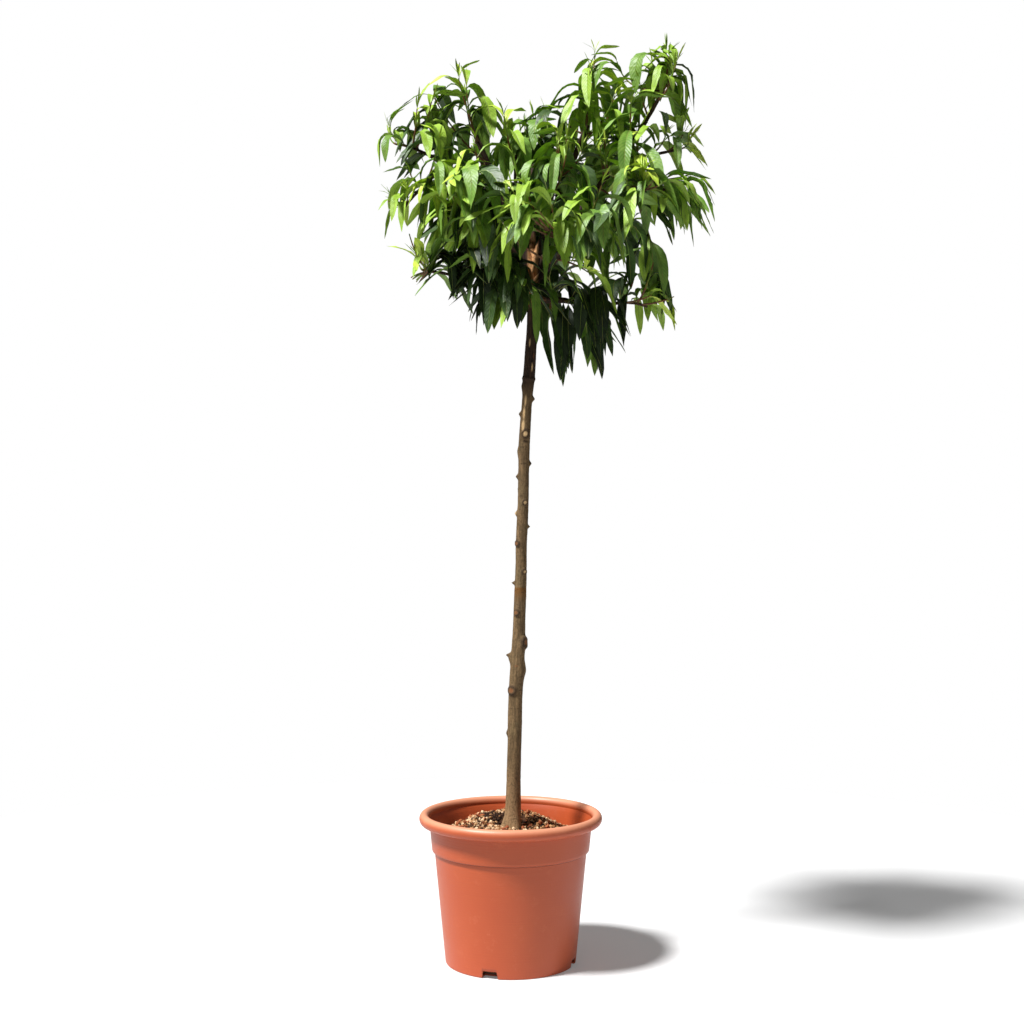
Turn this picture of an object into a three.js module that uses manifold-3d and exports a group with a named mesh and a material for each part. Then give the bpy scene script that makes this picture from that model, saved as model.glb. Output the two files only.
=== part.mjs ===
// A grafted peach tree grown as a half standard, standing in a round moulded pot.
// Millimetres, +Z up, with the origin at the centre of the pot's flat underside.
// The view with the drain slot near the middle looks along +Y, with +X to the right.
import * as THREE from 'three';
import { mergeVertices } from 'three/addons/utils/BufferGeometryUtils.js';
import Module from 'manifold-3d';

const wasm = await Module();
wasm.setup();

// Clearance between pieces that touch on the real plant.
const GAP = 0.3;
const LIMB_END_GAP = 0.35;

// Pot: a conical wall with a thicker collar and a round rolled rim.
const POT = {
  height: 277,
  baseRadius: 121.5,
  draft: 0.0985,
  wall: 3,
  floor: 4,
  footRound: 3,
  collarFrom: 206,
  collarStep: 2.5,
  collarProud: 4.6,
  rimInner: 152.5,
  rimOuter: 170.5,
  rimUnder: 256,
  throat: 252,
  rollFrom: -90,
  rollTo: 200,
  rimSides: 8,
  sides: 36,
};

// Drain slots: four trapezoid notches through the foot of the wall.
const SLOT = {
  count: 4,
  firstAzimuth: -18,
  widthBelow: 31,
  widthAbove: 23,
  height: 12.5,
  depth: 4.2,
  cutBelow: 1,
  cutLength: 16,
};

// Compost: fills the pot, with the old root ball standing a little proud and higher at the back.
const SOIL = {
  wallLevel: 236,
  ballRise: 25,
  ballCentre: [-6, 42],
  ballRadius: 104,
  ballSpread: 1.45,
  trunkLevel: 246.7,
  trunkFlat: 26,
  trunkBlend: 30,
  cornerAir: 13,
  stepRoom: 1,
  rings: 4,
};

// Trunk stations from the ground to the first fork: height, lean to +X, bow to +Y and radius.
const TRUNK_STATIONS = [
  [247, 2.4, 0, 19.5],
  [262, 3.6, 0, 16.2],
  [282, 4.6, 0.5, 14.2],
  [346, 6.0, 1, 13.2],
  [486, 8.8, 2, 13.4],
  [598, 14.6, 4, 12.1],
  [673, 17.4, 5, 11.1],
  [762, 19.8, 6, 10.6],
  [859, 23.2, 5, 10.3],
  [968, 25.4, 3, 10.6],
  [1046, 30.4, 1, 9.7],
  [1092, 34.0, 0, 11.2],
  [1168, 39.4, 0, 10.2],
  [1233, 42.0, 0, 10.0],
  [1304, 39.8, 0, 9.6],
];
const TRUNK_SIDES = 12;
const TRUNK_RINGS = 22;
const TRUNK_END_BAND = 2;

// Masses of leaves: middle, half sizes along X, Y and Z, and the furthest leaf tips.
const MASSES = {
  far_left: {
    at: [-210, -10, 1518], half: [48, 50, 50],
    tips: [[-257, -20, 1545], [-243, -10, 1568], [-241, -20, 1468]],
  },
  left_shoulder: { at: [-149, -30, 1561], half: [44, 55, 60], tips: [[-158, -30, 1622]] },
  left_leader: {
    at: [-88, 25, 1606], half: [49, 58, 76],
    tips: [[-86, 25, 1693], [-107, 25, 1689], [-26, 30, 1607]],
  },
  left_middle: { at: [-129, -60, 1466], half: [55, 62, 55], tips: [[-150, -118, 1440]] },
  left_hanging: {
    at: [-195, -60, 1384], half: [42, 50, 51],
    tips: [[-231, -70, 1374], [-208, -60, 1329]],
  },
  left_low: { at: [-156, -40, 1272], half: [37, 45, 48], tips: [[-191, -40, 1305], [-160, -40, 1216]] },
  centre_left: { at: [-66, -120, 1386], half: [64, 78, 86], tips: [[-70, -205, 1350]] },
  low_left: { at: [-68, -20, 1260], half: [52, 68, 72], tips: [[-44, -20, 1162], [-79, -20, 1185]] },
  inner_left: { at: [-7, -70, 1223], half: [31, 45, 66], tips: [[1, -65, 1142]] },
  top_middle: { at: [8, -20, 1523], half: [52, 75, 62], tips: [[-16, -20, 1605]] },
  middle_shoot: { at: [71, 50, 1563], half: [42, 60, 62], tips: [[61, 50, 1647]] },
  top_right: {
    at: [166, 50, 1636], half: [57, 70, 80],
    tips: [[174, 50, 1731], [128, 50, 1728], [223, 50, 1712]],
  },
  upper_right: {
    at: [284, -20, 1631], half: [57, 62, 72],
    tips: [[297, -20, 1724], [346, -20, 1646], [333, -20, 1560]],
  },
  right_core: { at: [200, 0, 1491], half: [67, 80, 64], tips: [] },
  far_right: { at: [321, 40, 1523], half: [45, 48, 45], tips: [[362, 40, 1572], [364, 40, 1474]] },
  right_hanging: { at: [314, -50, 1398], half: [55, 60, 59], tips: [[377, -50, 1340], [333, -50, 1334]] },
  right_front: { at: [236, -118, 1408], half: [46, 52, 62], tips: [[244, -172, 1360]] },
  front_high: { at: [82, -118, 1462], half: [58, 58, 60], tips: [] },
  front_right: { at: [130, -175, 1328], half: [74, 68, 72], tips: [[122, -268, 1290]] },
  front_left: { at: [16, -200, 1335], half: [48, 58, 70], tips: [[8, -262, 1300]] },
  right_low: { at: [255, -20, 1308], half: [37, 50, 70], tips: [[282, -20, 1226]] },
  lower_right: {
    at: [256, 0, 1211], half: [49, 45, 34],
    tips: [[301, -5, 1174], [309, 0, 1240], [249, 0, 1162]],
  },
  bottom_right: { at: [163, -70, 1190], half: [51, 65, 76], tips: [[160, -60, 1078], [191, -60, 1133]] },
  bottom_middle: { at: [91, -40, 1157], half: [37, 55, 70], tips: [[91, -40, 1076], [115, -40, 1080]] },
  back_left_high: { at: [-88, 122, 1500], half: [62, 66, 66], tips: [[-152, 150, 1512]] },
  back_left_low: {
    at: [-108, 138, 1386], half: [66, 70, 68],
    tips: [[-178, 170, 1350], [-112, 224, 1362]],
  },
  back_middle: { at: [22, 205, 1420], half: [64, 62, 76], tips: [[26, 272, 1378]] },
  back_top: { at: [46, 150, 1556], half: [60, 62, 60], tips: [[40, 168, 1640]] },
  back_right_high: { at: [172, 140, 1518], half: [64, 66, 60], tips: [[214, 196, 1540]] },
  back_right_low: {
    at: [200, 150, 1394], half: [74, 76, 68],
    tips: [[276, 190, 1342], [206, 240, 1362]],
  },
  back_low: { at: [40, 150, 1278], half: [78, 72, 74], tips: [[40, 232, 1240], [30, 160, 1190]] },
};
const MASS_DETAIL = 3;
const MASS_UNEVEN = 0.1;
const MASS_WAVES = { across: 5, deep: 4, tall: 6 };
const MASS_SHIFTS = { across: 1.7, deep: 2.3, tall: 3.1 };

// Boughs: a start on the axis of what carries it, a middle, an end inside the mass that hides it,
// and the radii of the two ends.
const BOUGHS = {
  left_leader: {
    path: [[39, 0, 1290], [-5, 12, 1407], [-66, 24, 1545]], radii: [8.5, 4.6],
    into: 'left_leader',
  },
  right_leader: {
    path: [[40, 0, 1290], [80, 20, 1405], [145, 44, 1570]], radii: [9.0, 4.8],
    into: 'top_right',
  },
  right: {
    path: [[41, 0, 1282], [116, -8, 1384], [182, -4, 1466]], radii: [7.5, 5.2],
    into: 'right_core',
  },
  left: {
    path: [[40, 0, 1276], [-35, -16, 1372], [-106, -50, 1446]], radii: [7.0, 4.8],
    into: 'left_middle',
  },
  low_left: {
    path: [[42, 0, 1238], [4, -8, 1262], [-44, -16, 1266]], radii: [6.0, 4.6],
    into: 'low_left',
  },
  back_left: {
    path: [[39, 0, 1288], [-14, 56, 1344], [-88, 118, 1378]], radii: [7.5, 5.0],
    into: 'back_left_low',
  },
  back_right: {
    path: [[42, 0, 1284], [92, 58, 1346], [170, 126, 1384]], radii: [7.5, 5.0],
    into: 'back_right_low',
  },
  back_top: {
    path: [[40, 0, 1290], [42, 52, 1400], [44, 130, 1536]], radii: [7.0, 4.6],
    into: 'back_top',
  },
  back: {
    path: [[41, 0, 1262], [34, 84, 1330], [24, 180, 1400]], radii: [6.4, 4.4],
    into: 'back_middle',
  },
  front: { path: [[41, 0, 1276], [62, -44, 1350], [82, -106, 1446]], radii: [6.2, 4.4], into: 'front_high' },
  front_right: {
    path: [[42, 0, 1262], [74, -64, 1290], [112, -140, 1318]], radii: [6.4, 4.4],
    into: 'front_right',
  },
  low_right: {
    path: [[42, 0, 1228], [98, -26, 1238], [146, -58, 1210]], radii: [6.4, 4.4],
    into: 'bottom_right',
  },
  low_back: {
    path: [[42, 0, 1214], [34, 56, 1246], [36, 120, 1268]], radii: [6.2, 4.4],
    into: 'back_low',
  },
  middle: {
    path: [[66, 12, 1362], [84, 36, 1430], [74, 48, 1530]], radii: [4.6, 3.4],
    into: 'middle_shoot',
  },
  top_middle: {
    path: [[6, 8, 1382], [10, -4, 1440], [9, -16, 1500]], radii: [4.4, 3.4],
    into: 'top_middle',
  },
};
const BOUGH_SIDES = 7;
const BOUGH_RINGS = 4;

// Branches: they show where they cross the open sky between the mass they leave and the next.
const BRANCHES = {
  far_left: {
    path: [[-134, -54, 1482], [-172, -36, 1508], [-206, -14, 1520]], radii: [3.2, 2.4],
    from: 'left_middle', into: 'far_left',
  },
  left_hanging: {
    path: [[-134, -60, 1456], [-168, -62, 1428], [-194, -60, 1394]], radii: [3.2, 2.4],
    from: 'left_middle', into: 'left_hanging',
  },
  left_low: {
    path: [[-76, -22, 1264], [-116, -32, 1280], [-152, -40, 1280]], radii: [3.2, 2.4],
    from: 'low_left', into: 'left_low',
  },
  upper_right: {
    path: [[212, -4, 1504], [252, -12, 1560], [282, -20, 1618]], radii: [4.4, 3.2],
    from: 'right_core', into: 'upper_right',
  },
  far_right: {
    path: [[212, 8, 1496], [264, 26, 1508], [316, 40, 1524]], radii: [3.4, 2.4],
    from: 'right_core', into: 'far_right',
  },
  right_hanging: {
    path: [[210, -10, 1478], [262, -34, 1446], [308, -48, 1410]], radii: [3.6, 2.6],
    from: 'right_core', into: 'right_hanging',
  },
  right_front: {
    path: [[206, -22, 1462], [224, -70, 1438], [238, -112, 1412]], radii: [3.4, 2.6],
    from: 'right_core', into: 'right_front',
  },
  right_low: {
    path: [[206, -4, 1476], [248, -16, 1408], [255, -20, 1330]], radii: [3.6, 2.6],
    from: 'right_core', into: 'right_low',
  },
  lower_right: {
    path: [[166, -62, 1212], [216, -26, 1232], [254, -2, 1220]], radii: [3.2, 2.4],
    from: 'bottom_right', into: 'lower_right',
  },
};
const BRANCH_SIDES = 6;
const BRANCH_RINGS = 3;

const LOOKS = {
  pot: { color: 0xc9683f, roughness: 0.5, metalness: 0 },
  soil: { color: 0x6b4a30, roughness: 1, metalness: 0 },
  bark: { color: 0x6d5a41, roughness: 0.9, metalness: 0 },
  leaves: { color: 0x3d6b22, roughness: 0.5, metalness: 0 },
};

const MERGE_WITHIN = 1e-4;

// A closed body: shared corners are merged and triangles without area are left out.
function closed(geometry) {
  geometry.deleteAttribute('normal');
  geometry.deleteAttribute('uv');
  const merged = mergeVertices(geometry, MERGE_WITHIN);
  const corners = merged.index.array;
  const kept = [];
  for (let i = 0; i < corners.length; i += 3) {
    const [a, b, c] = [corners[i], corners[i + 1], corners[i + 2]];
    if (a !== b && b !== c && c !== a) {
      kept.push(a, b, c);
    }
  }
  merged.setIndex(kept);
  return merged;
}

function toSolid(geometry) {
  return new wasm.Manifold(new wasm.Mesh({
    numProp: 3,
    vertProperties: new Float32Array(geometry.attributes.position.array),
    triVerts: new Uint32Array(geometry.index.array),
  }));
}

function toGeometry(solid) {
  const mesh = solid.getMesh();
  const geometry = new THREE.BufferGeometry();
  geometry.setAttribute('position', new THREE.BufferAttribute(mesh.vertProperties, 3));
  geometry.setIndex(new THREE.BufferAttribute(mesh.triVerts, 1));
  return geometry;
}

function piece(name, geometry, look) {
  geometry.computeVertexNormals();
  const mesh = new THREE.Mesh(geometry, new THREE.MeshStandardMaterial(LOOKS[look]));
  mesh.name = name;
  return mesh;
}

// Revolves an outline of [radius, height] pairs about +Z.
function revolved(outline, sides) {
  const geometry = new THREE.LatheGeometry(outline.map(([r, z]) => new THREE.Vector2(r, z)), sides);
  geometry.rotateX(Math.PI / 2);
  return geometry;
}

// Pot
function wallRadius(z) {
  return POT.baseRadius + POT.draft * z;
}

function collarRadius(z) {
  return wallRadius(z) + POT.collarProud;
}

function innerRadius(z) {
  const outer = z > POT.collarFrom ? collarRadius(z) : wallRadius(z);
  return outer - POT.wall;
}

// The roll runs from under the rim, round its outside and over the crest to the opening.
function rimRoll() {
  const middleRadius = (POT.rimInner + POT.rimOuter) / 2;
  const middleHeight = (POT.height + POT.rimUnder) / 2;
  const reach = (POT.rimOuter - POT.rimInner) / 2;
  const rise = (POT.height - POT.rimUnder) / 2;
  const points = [];
  for (let i = 0; i <= POT.rimSides; i += 1) {
    const degrees = THREE.MathUtils.lerp(POT.rollFrom, POT.rollTo, i / POT.rimSides);
    const turn = THREE.MathUtils.degToRad(degrees);
    points.push([middleRadius + reach * Math.cos(turn), middleHeight + rise * Math.sin(turn)]);
  }
  return points;
}

function potOutline() {
  const stepTop = POT.collarFrom + POT.collarStep;
  return [
    [0, 0],
    [POT.baseRadius - POT.footRound, 0],
    [wallRadius(POT.footRound), POT.footRound],
    [wallRadius(POT.collarFrom), POT.collarFrom],
    [collarRadius(stepTop), stepTop],
    [collarRadius(POT.rimUnder), POT.rimUnder],
    ...rimRoll(),
    [innerRadius(POT.throat), POT.throat],
    [innerRadius(stepTop), stepTop],
    [wallRadius(POT.collarFrom - POT.wall) - POT.wall, POT.collarFrom - POT.wall],
    [wallRadius(POT.floor) - POT.wall, POT.floor],
    [0, POT.floor],
  ];
}

function slotCutter(azimuth) {
  const outline = new THREE.Shape();
  outline.moveTo(-SLOT.widthBelow / 2, -SLOT.cutBelow);
  outline.lineTo(SLOT.widthBelow / 2, -SLOT.cutBelow);
  outline.lineTo(SLOT.widthAbove / 2, SLOT.height);
  outline.lineTo(-SLOT.widthAbove / 2, SLOT.height);
  outline.closePath();
  const geometry = new THREE.ExtrudeGeometry(outline, { depth: SLOT.cutLength, bevelEnabled: false });
  geometry.rotateX(Math.PI / 2);
  geometry.translate(0, SLOT.depth - POT.baseRadius, 0);
  geometry.rotateZ(THREE.MathUtils.degToRad(azimuth));
  return toSolid(closed(geometry));
}

function pot() {
  let solid = toSolid(closed(revolved(potOutline(), POT.sides)));
  for (let i = 0; i < SLOT.count; i += 1) {
    solid = solid.subtract(slotCutter(SLOT.firstAzimuth + (360 * i) / SLOT.count));
  }
  return piece('pot', toGeometry(solid), 'pot');
}

// Compost
function smooth(t) {
  const s = THREE.MathUtils.clamp(t, 0, 1);
  return s * s * (3 - 2 * s);
}

function soilLevel(x, y) {
  const [ballX, ballY] = SOIL.ballCentre;
  const away = Math.hypot(x - ballX, y - ballY) / SOIL.ballRadius;
  const heap = SOIL.wallLevel + SOIL.ballRise * smooth(SOIL.ballSpread - away);
  const fromTrunk = Math.hypot(x - TRUNK_STATIONS[0][1], y) - SOIL.trunkFlat;
  return THREE.MathUtils.lerp(SOIL.trunkLevel, heap, smooth(fromTrunk / SOIL.trunkBlend));
}

function soil() {
  const edge = innerRadius(SOIL.wallLevel) - GAP;
  const bottom = POT.floor + GAP;
  const stepTop = POT.collarFrom + POT.collarStep;
  const outline = [
    [0, bottom],
    [wallRadius(bottom) - POT.wall - SOIL.cornerAir, bottom],
    [wallRadius(bottom + SOIL.cornerAir) - POT.wall - GAP, bottom + SOIL.cornerAir],
    [wallRadius(POT.collarFrom - POT.wall) - POT.wall - GAP, POT.collarFrom - POT.wall],
    [innerRadius(stepTop) - GAP, stepTop + SOIL.stepRoom],
    [edge, SOIL.wallLevel],
  ];
  for (let i = SOIL.rings - 1; i > 0; i -= 1) {
    outline.push([SOIL.trunkFlat + ((edge - SOIL.trunkFlat) * i) / SOIL.rings, SOIL.wallLevel]);
  }
  outline.push([SOIL.trunkFlat, SOIL.wallLevel], [0, SOIL.wallLevel]);
  const geometry = revolved(outline, POT.sides);
  const place = geometry.attributes.position;
  for (let i = 0; i < place.count; i += 1) {
    if (place.getZ(i) > (stepTop + SOIL.wallLevel) / 2) {
      place.setZ(i, soilLevel(place.getX(i), place.getY(i)));
    }
  }
  return piece('soil', closed(geometry), 'soil');
}

// Limbs: a cylinder whose rings are carried along a curve and given the curve's radius.
function limb(curve, radiusAt, sides, rings) {
  const geometry = new THREE.CylinderGeometry(1, 1, 1, sides, rings);
  const frames = curve.computeFrenetFrames(rings);
  const place = geometry.attributes.position;
  const point = new THREE.Vector3();
  for (let i = 0; i < place.count; i += 1) {
    const along = place.getY(i) + 0.5;
    const ring = Math.round(along * rings);
    const radius = radiusAt(along);
    curve.getPointAt(along, point);
    point.addScaledVector(frames.normals[ring], place.getX(i) * radius);
    point.addScaledVector(frames.binormals[ring], -place.getZ(i) * radius);
    place.setXYZ(i, point.x, point.y, point.z);
  }
  return closed(geometry);
}

function trunkRadius(z) {
  const last = TRUNK_STATIONS.length - 2;
  const above = TRUNK_STATIONS.findIndex(([height]) => height > z) - 1;
  const i = THREE.MathUtils.clamp(above < 0 ? last : above, 0, last);
  const [low, , , lowRadius] = TRUNK_STATIONS[i];
  const [high, , , highRadius] = TRUNK_STATIONS[i + 1];
  return THREE.MathUtils.lerp(lowRadius, highRadius, (z - low) / (high - low));
}

function trunkLimb(extra) {
  const curve = new THREE.CatmullRomCurve3(
    TRUNK_STATIONS.map(([z, x, y]) => new THREE.Vector3(x, y, z)),
    false,
    'centripetal',
  );
  const geometry = limb(curve, (t) => trunkRadius(curve.getPointAt(t).z) + extra, TRUNK_SIDES, TRUNK_RINGS);
  const foot = TRUNK_STATIONS[0][0];
  const fork = TRUNK_STATIONS.at(-1)[0];
  const place = geometry.attributes.position;
  for (let i = 0; i < place.count; i += 1) {
    if (place.getZ(i) < foot + TRUNK_END_BAND) {
      place.setZ(i, foot - extra);
    }
    if (place.getZ(i) > fork - TRUNK_END_BAND) {
      place.setZ(i, place.getZ(i) + extra);
    }
  }
  return geometry;
}

function branching({ path, radii }, extra, sides, rings) {
  const curve = new THREE.QuadraticBezierCurve3(...path.map((point) => new THREE.Vector3(...point)));
  return toSolid(limb(curve, (t) => THREE.MathUtils.lerp(...radii, t) + extra, sides, rings));
}

// Masses: a ball drawn out to the half sizes, made uneven, pulled to its leaf tips, and held back
// at the planes where it meets its neighbours.
function reach(mass, direction) {
  const [a, b, c] = mass.half;
  return 1 / Math.hypot(direction.x / a, direction.y / b, direction.z / c);
}

function unevenness(direction, seed) {
  const across = Math.sin(MASS_WAVES.across * direction.x + MASS_SHIFTS.across * seed);
  const deep = Math.sin(MASS_WAVES.deep * direction.y + MASS_SHIFTS.deep * seed);
  const tall = Math.sin(MASS_WAVES.tall * direction.z + MASS_SHIFTS.tall * seed);
  return 1 + MASS_UNEVEN * (across * deep + tall);
}

function meetingPlanes(name) {
  const here = new THREE.Vector3(...MASSES[name].at);
  return Object.keys(MASSES).filter((other) => other !== name).map((other) => {
    const across = new THREE.Vector3(...MASSES[other].at).sub(here);
    const distance = across.length();
    across.normalize();
    const mine = reach(MASSES[name], across);
    const theirs = reach(MASSES[other], across);
    return { normal: across, distance: (distance * mine) / (mine + theirs) - GAP / 2 };
  });
}

function heldBack(point, planes) {
  let share = 1;
  for (const plane of planes) {
    const depth = plane.normal.dot(point);
    if (depth > plane.distance) {
      share = Math.min(share, plane.distance / depth);
    }
  }
  return point.multiplyScalar(share);
}

function massGeometry(name, seed) {
  const mass = MASSES[name];
  const middle = new THREE.Vector3(...mass.at);
  const planes = meetingPlanes(name);
  const geometry = closed(new THREE.OctahedronGeometry(1, MASS_DETAIL));
  const place = geometry.attributes.position;
  const directions = [];
  for (let i = 0; i < place.count; i += 1) {
    directions.push(new THREE.Vector3().fromBufferAttribute(place, i).normalize());
  }
  const points = directions.map((direction) => direction.clone()
    .multiplyScalar(reach(mass, direction) * unevenness(direction, seed)));
  for (const tip of mass.tips) {
    const towards = new THREE.Vector3(...tip).sub(middle);
    const nearest = directions.map((direction) => direction.angleTo(towards));
    points[nearest.indexOf(Math.min(...nearest))] = towards;
  }
  points.forEach((point, i) => {
    heldBack(point, planes).add(middle);
    place.setXYZ(i, point.x, point.y, point.z);
  });
  return geometry;
}

// The same mass a little larger about its middle, to end a limb just outside it.
function grown(name, solid) {
  const [x, y, z] = MASSES[name].at;
  const scale = 1 + LIMB_END_GAP / Math.min(...MASSES[name].half);
  return solid.translate([-x, -y, -z]).scale([scale, scale, scale]).translate([x, y, z]);
}

const masses = {};
Object.keys(MASSES).forEach((name, seed) => {
  masses[name] = toSolid(massGeometry(name, seed));
});

const trunkBody = trunkLimb(0);
const trunkRoom = toSolid(trunkLimb(GAP));
const limbs = {};
let limbRoom = trunkRoom;
for (const [name, bough] of Object.entries(BOUGHS)) {
  const whole = branching(bough, 0, BOUGH_SIDES, BOUGH_RINGS).subtract(limbRoom);
  limbs[`bough_${name}`] = whole.subtract(grown(bough.into, masses[bough.into]));
  const room = branching(bough, GAP, BOUGH_SIDES, BOUGH_RINGS);
  limbRoom = limbRoom.add(room.subtract(masses[bough.into]));
}
for (const [name, branch] of Object.entries(BRANCHES)) {
  const whole = branching(branch, 0, BRANCH_SIDES, BRANCH_RINGS).subtract(limbRoom);
  const open = whole.subtract(grown(branch.from, masses[branch.from]));
  limbs[`branch_${name}`] = open.subtract(grown(branch.into, masses[branch.into]));
  const room = branching(branch, GAP, BRANCH_SIDES, BRANCH_RINGS);
  limbRoom = limbRoom.add(room.subtract(masses[branch.from]).subtract(masses[branch.into]));
}

const tree = new THREE.Group();
tree.add(pot());
tree.add(soil());
tree.add(piece('trunk', trunkBody, 'bark'));
for (const [name, solid] of Object.entries(limbs)) {
  tree.add(piece(name, toGeometry(solid), 'bark'));
}
for (const [name, solid] of Object.entries(masses)) {
  tree.add(piece(`mass_${name}`, toGeometry(solid.subtract(limbRoom)), 'leaves'));
}

export default tree;
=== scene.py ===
# %% [markdown]
# # A young peach tree in a moulded pot
#
# A plain solid model gives this tree its true sizes: a pot, its compost, a trunk, boughs and
# closed masses where the leaves are. In this lesson each of them gets what the eye expects:
# moulded plastic, loose grit, knotted bark, twigs, and long leaves that arch and droop. Lengths
# are metres, +Z is up, and the side that the picture shows faces -Y.

import math
import random
from collections import namedtuple

import bmesh
import bpy
import numpy as np
from mathutils import Matrix, Vector, noise
from mathutils.bvhtree import BVHTree


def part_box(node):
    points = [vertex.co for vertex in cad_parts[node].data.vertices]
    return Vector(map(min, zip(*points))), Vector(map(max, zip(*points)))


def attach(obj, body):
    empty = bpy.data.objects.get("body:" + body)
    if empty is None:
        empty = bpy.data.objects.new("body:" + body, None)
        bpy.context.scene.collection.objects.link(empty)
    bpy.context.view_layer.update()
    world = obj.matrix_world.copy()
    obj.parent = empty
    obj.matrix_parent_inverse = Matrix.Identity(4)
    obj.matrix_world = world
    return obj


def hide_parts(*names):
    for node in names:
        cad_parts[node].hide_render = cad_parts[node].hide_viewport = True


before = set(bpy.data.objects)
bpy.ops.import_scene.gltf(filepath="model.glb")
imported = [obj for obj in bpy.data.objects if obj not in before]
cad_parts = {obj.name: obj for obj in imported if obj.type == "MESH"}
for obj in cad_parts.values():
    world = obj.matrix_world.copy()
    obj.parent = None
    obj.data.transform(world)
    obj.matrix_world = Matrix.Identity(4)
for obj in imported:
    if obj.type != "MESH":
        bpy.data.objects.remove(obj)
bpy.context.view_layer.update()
MASS_NODES = sorted(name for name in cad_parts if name.startswith("mass_"))
LIMB_NODES = sorted(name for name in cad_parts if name.startswith(("bough_", "branch_")))
print("plain model:", len(MASS_NODES), "masses,", len(LIMB_NODES), "limbs")

# %% [markdown]
# Every finished piece is handled alike: it is linked to the scene, gets its finish, rides on the
# tree's one body and hides the plain nodes that it stands for. One helper does that, so no piece is
# forgotten.

# %% A helper that hands a mesh over as a finished piece
def hand_over(name, mesh, finish, replaced):
    piece = bpy.data.objects.new(name, mesh)
    bpy.context.scene.collection.objects.link(piece)
    mesh.materials.append(finish.material)
    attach(piece, "root")
    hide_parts(*replaced)
    triangles = sum(len(face.vertices) - 2 for face in mesh.polygons)
    print(name, triangles, "triangles")


def mesh_of(bm, name, sharp_degrees=180):
    """Turns a bmesh into a smooth-shaded mesh, with edges steeper than the angle kept sharp."""
    for face in bm.faces:
        face.smooth = True
    for edge in bm.edges:
        edge.smooth = edge.calc_face_angle(0) < math.radians(sharp_degrees)
    mesh = bpy.data.meshes.new(name)
    bm.to_mesh(mesh)
    bm.free()
    return mesh


# %% [markdown]
# A finish is a shader built from nodes. Written out node by node it is long and hard to read, so a
# small class wraps a socket: adding or multiplying two wires places the Math node for it.

# %% Wires that can be added up
class Wire:
    """One output socket, which can stand in a sum."""

    def __init__(self, finish, socket):
        self.finish = finish
        self.socket = socket

    def sum(self, operation, first, second):
        return self.finish.node("Math", {"operation": operation}, {0: first, 1: second})

    def __add__(self, other):
        return self.sum("ADD", self, other)

    def __sub__(self, other):
        return self.sum("SUBTRACT", self, other)

    def __rsub__(self, other):
        return self.sum("SUBTRACT", other, self)

    def __mul__(self, other):
        return self.sum("MULTIPLY", self, other)

    def __abs__(self):
        return self.sum("ABSOLUTE", self, 0)

    def sine(self):
        return self.sum("SINE", self, 0)

    __radd__ = __add__
    __rmul__ = __mul__


# %% [markdown]
# Every other node comes from one method of a finish, out of its type, its settings and the values of
# its sockets. Short methods on top of it make the nodes that come again and again. A Mix node has
# sockets of the same names for numbers, vectors and colours, so its colour sockets are called by
# their place in the list.

# %% A small language for finishes
MIX_SHARE, MIX_FIRST, MIX_SECOND, MIX_RESULT = 0, 6, 7, 2


class Finish:
    """A material around one Principled shader."""

    def __init__(self, name, **constants):
        self.material = bpy.data.materials.new(name)
        self.material.use_nodes = True
        self.tree = self.material.node_tree
        self.surface = self.tree.nodes["Principled BSDF"]
        self.place = self.node("TexCoord", output="Object")
        for socket, value in constants.items():
            self.feed(self.surface.inputs[socket.replace("_", " ")], value)

    def feed(self, socket, value):
        if isinstance(value, Wire):
            self.tree.links.new(value.socket, socket)
        else:
            socket.default_value = value

    def node(self, kind, settings=(), inputs=(), output=0):
        made = self.tree.nodes.new("ShaderNode" + kind)
        for key, value in dict(settings).items():
            setattr(made, key, value)
        for socket, value in dict(inputs).items():
            self.feed(made.inputs[socket], value)
        return Wire(self, made.outputs[output])

    def grain(self, scale, detail=2.0, stretch=(1, 1, 1), roughness=0.5):
        """Noise between about 0.3 and 0.7, drawn out along an axis by a small stretch."""
        place = self.node("Mapping", {}, {"Vector": self.place, "Scale": stretch})
        sockets = {"Vector": place, "Scale": scale, "Detail": detail, "Roughness": roughness}
        return self.node("TexNoise", {}, sockets)

    def ramp(self, wire, low, high):
        """0 below low, 1 above high, and a smooth rise between."""
        settings = {"interpolation_type": "SMOOTHSTEP"}
        return self.node("MapRange", settings, {0: wire, 1: low, 2: high})

    def band(self, wire, rise, fall):
        """1 between two smooth steps, each given by where it starts and ends, and 0 outside them."""
        return self.ramp(wire, *rise) * (1 - self.ramp(wire, *fall))

    def blend(self, share, first, second):
        """The first colour at share 0 and the second at share 1."""
        sockets = {MIX_SHARE: share, MIX_FIRST: first, MIX_SECOND: second}
        return self.node("Mix", {"data_type": "RGBA"}, sockets, output=MIX_RESULT)

    def place_along(self, axis):
        """The place on the piece along one axis, in metres."""
        return self.node("SeparateXYZ", {}, {0: self.place}, output=axis)

    def attribute(self, name):
        return self.node("Attribute", {"attribute_name": name}, output="Fac")

    def bump(self, height, distance, strength=1.0):
        sockets = {"Height": height, "Distance": distance, "Strength": strength}
        self.feed(self.surface.inputs["Normal"], self.node("Bump", {}, sockets))

    def paint(self, colour, roughness=None):
        self.feed(self.surface.inputs["Base Color"], colour)
        if roughness is not None:
            self.feed(self.surface.inputs["Roughness"], roughness)


# %% [markdown]
# Colours are given as they look on a screen, from 0 to 255, and shaders reckon in linear light. The
# curve between the two is the usual one for screens: a short straight foot, then a power.

# %% Screen colours in linear light
def shade(red, green, blue):
    """A screen colour, 0 to 255, turned into the linear light that shaders use."""
    def linear(value):
        part = value / 255
        return part / 12.92 if part <= 0.04045 else ((part + 0.055) / 1.055) ** 2.4

    return (linear(red), linear(green), linear(blue), 1.0)


print("a middle grey on a screen is", round(shade(128, 128, 128)[0], 2), "of white in linear light")

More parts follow.
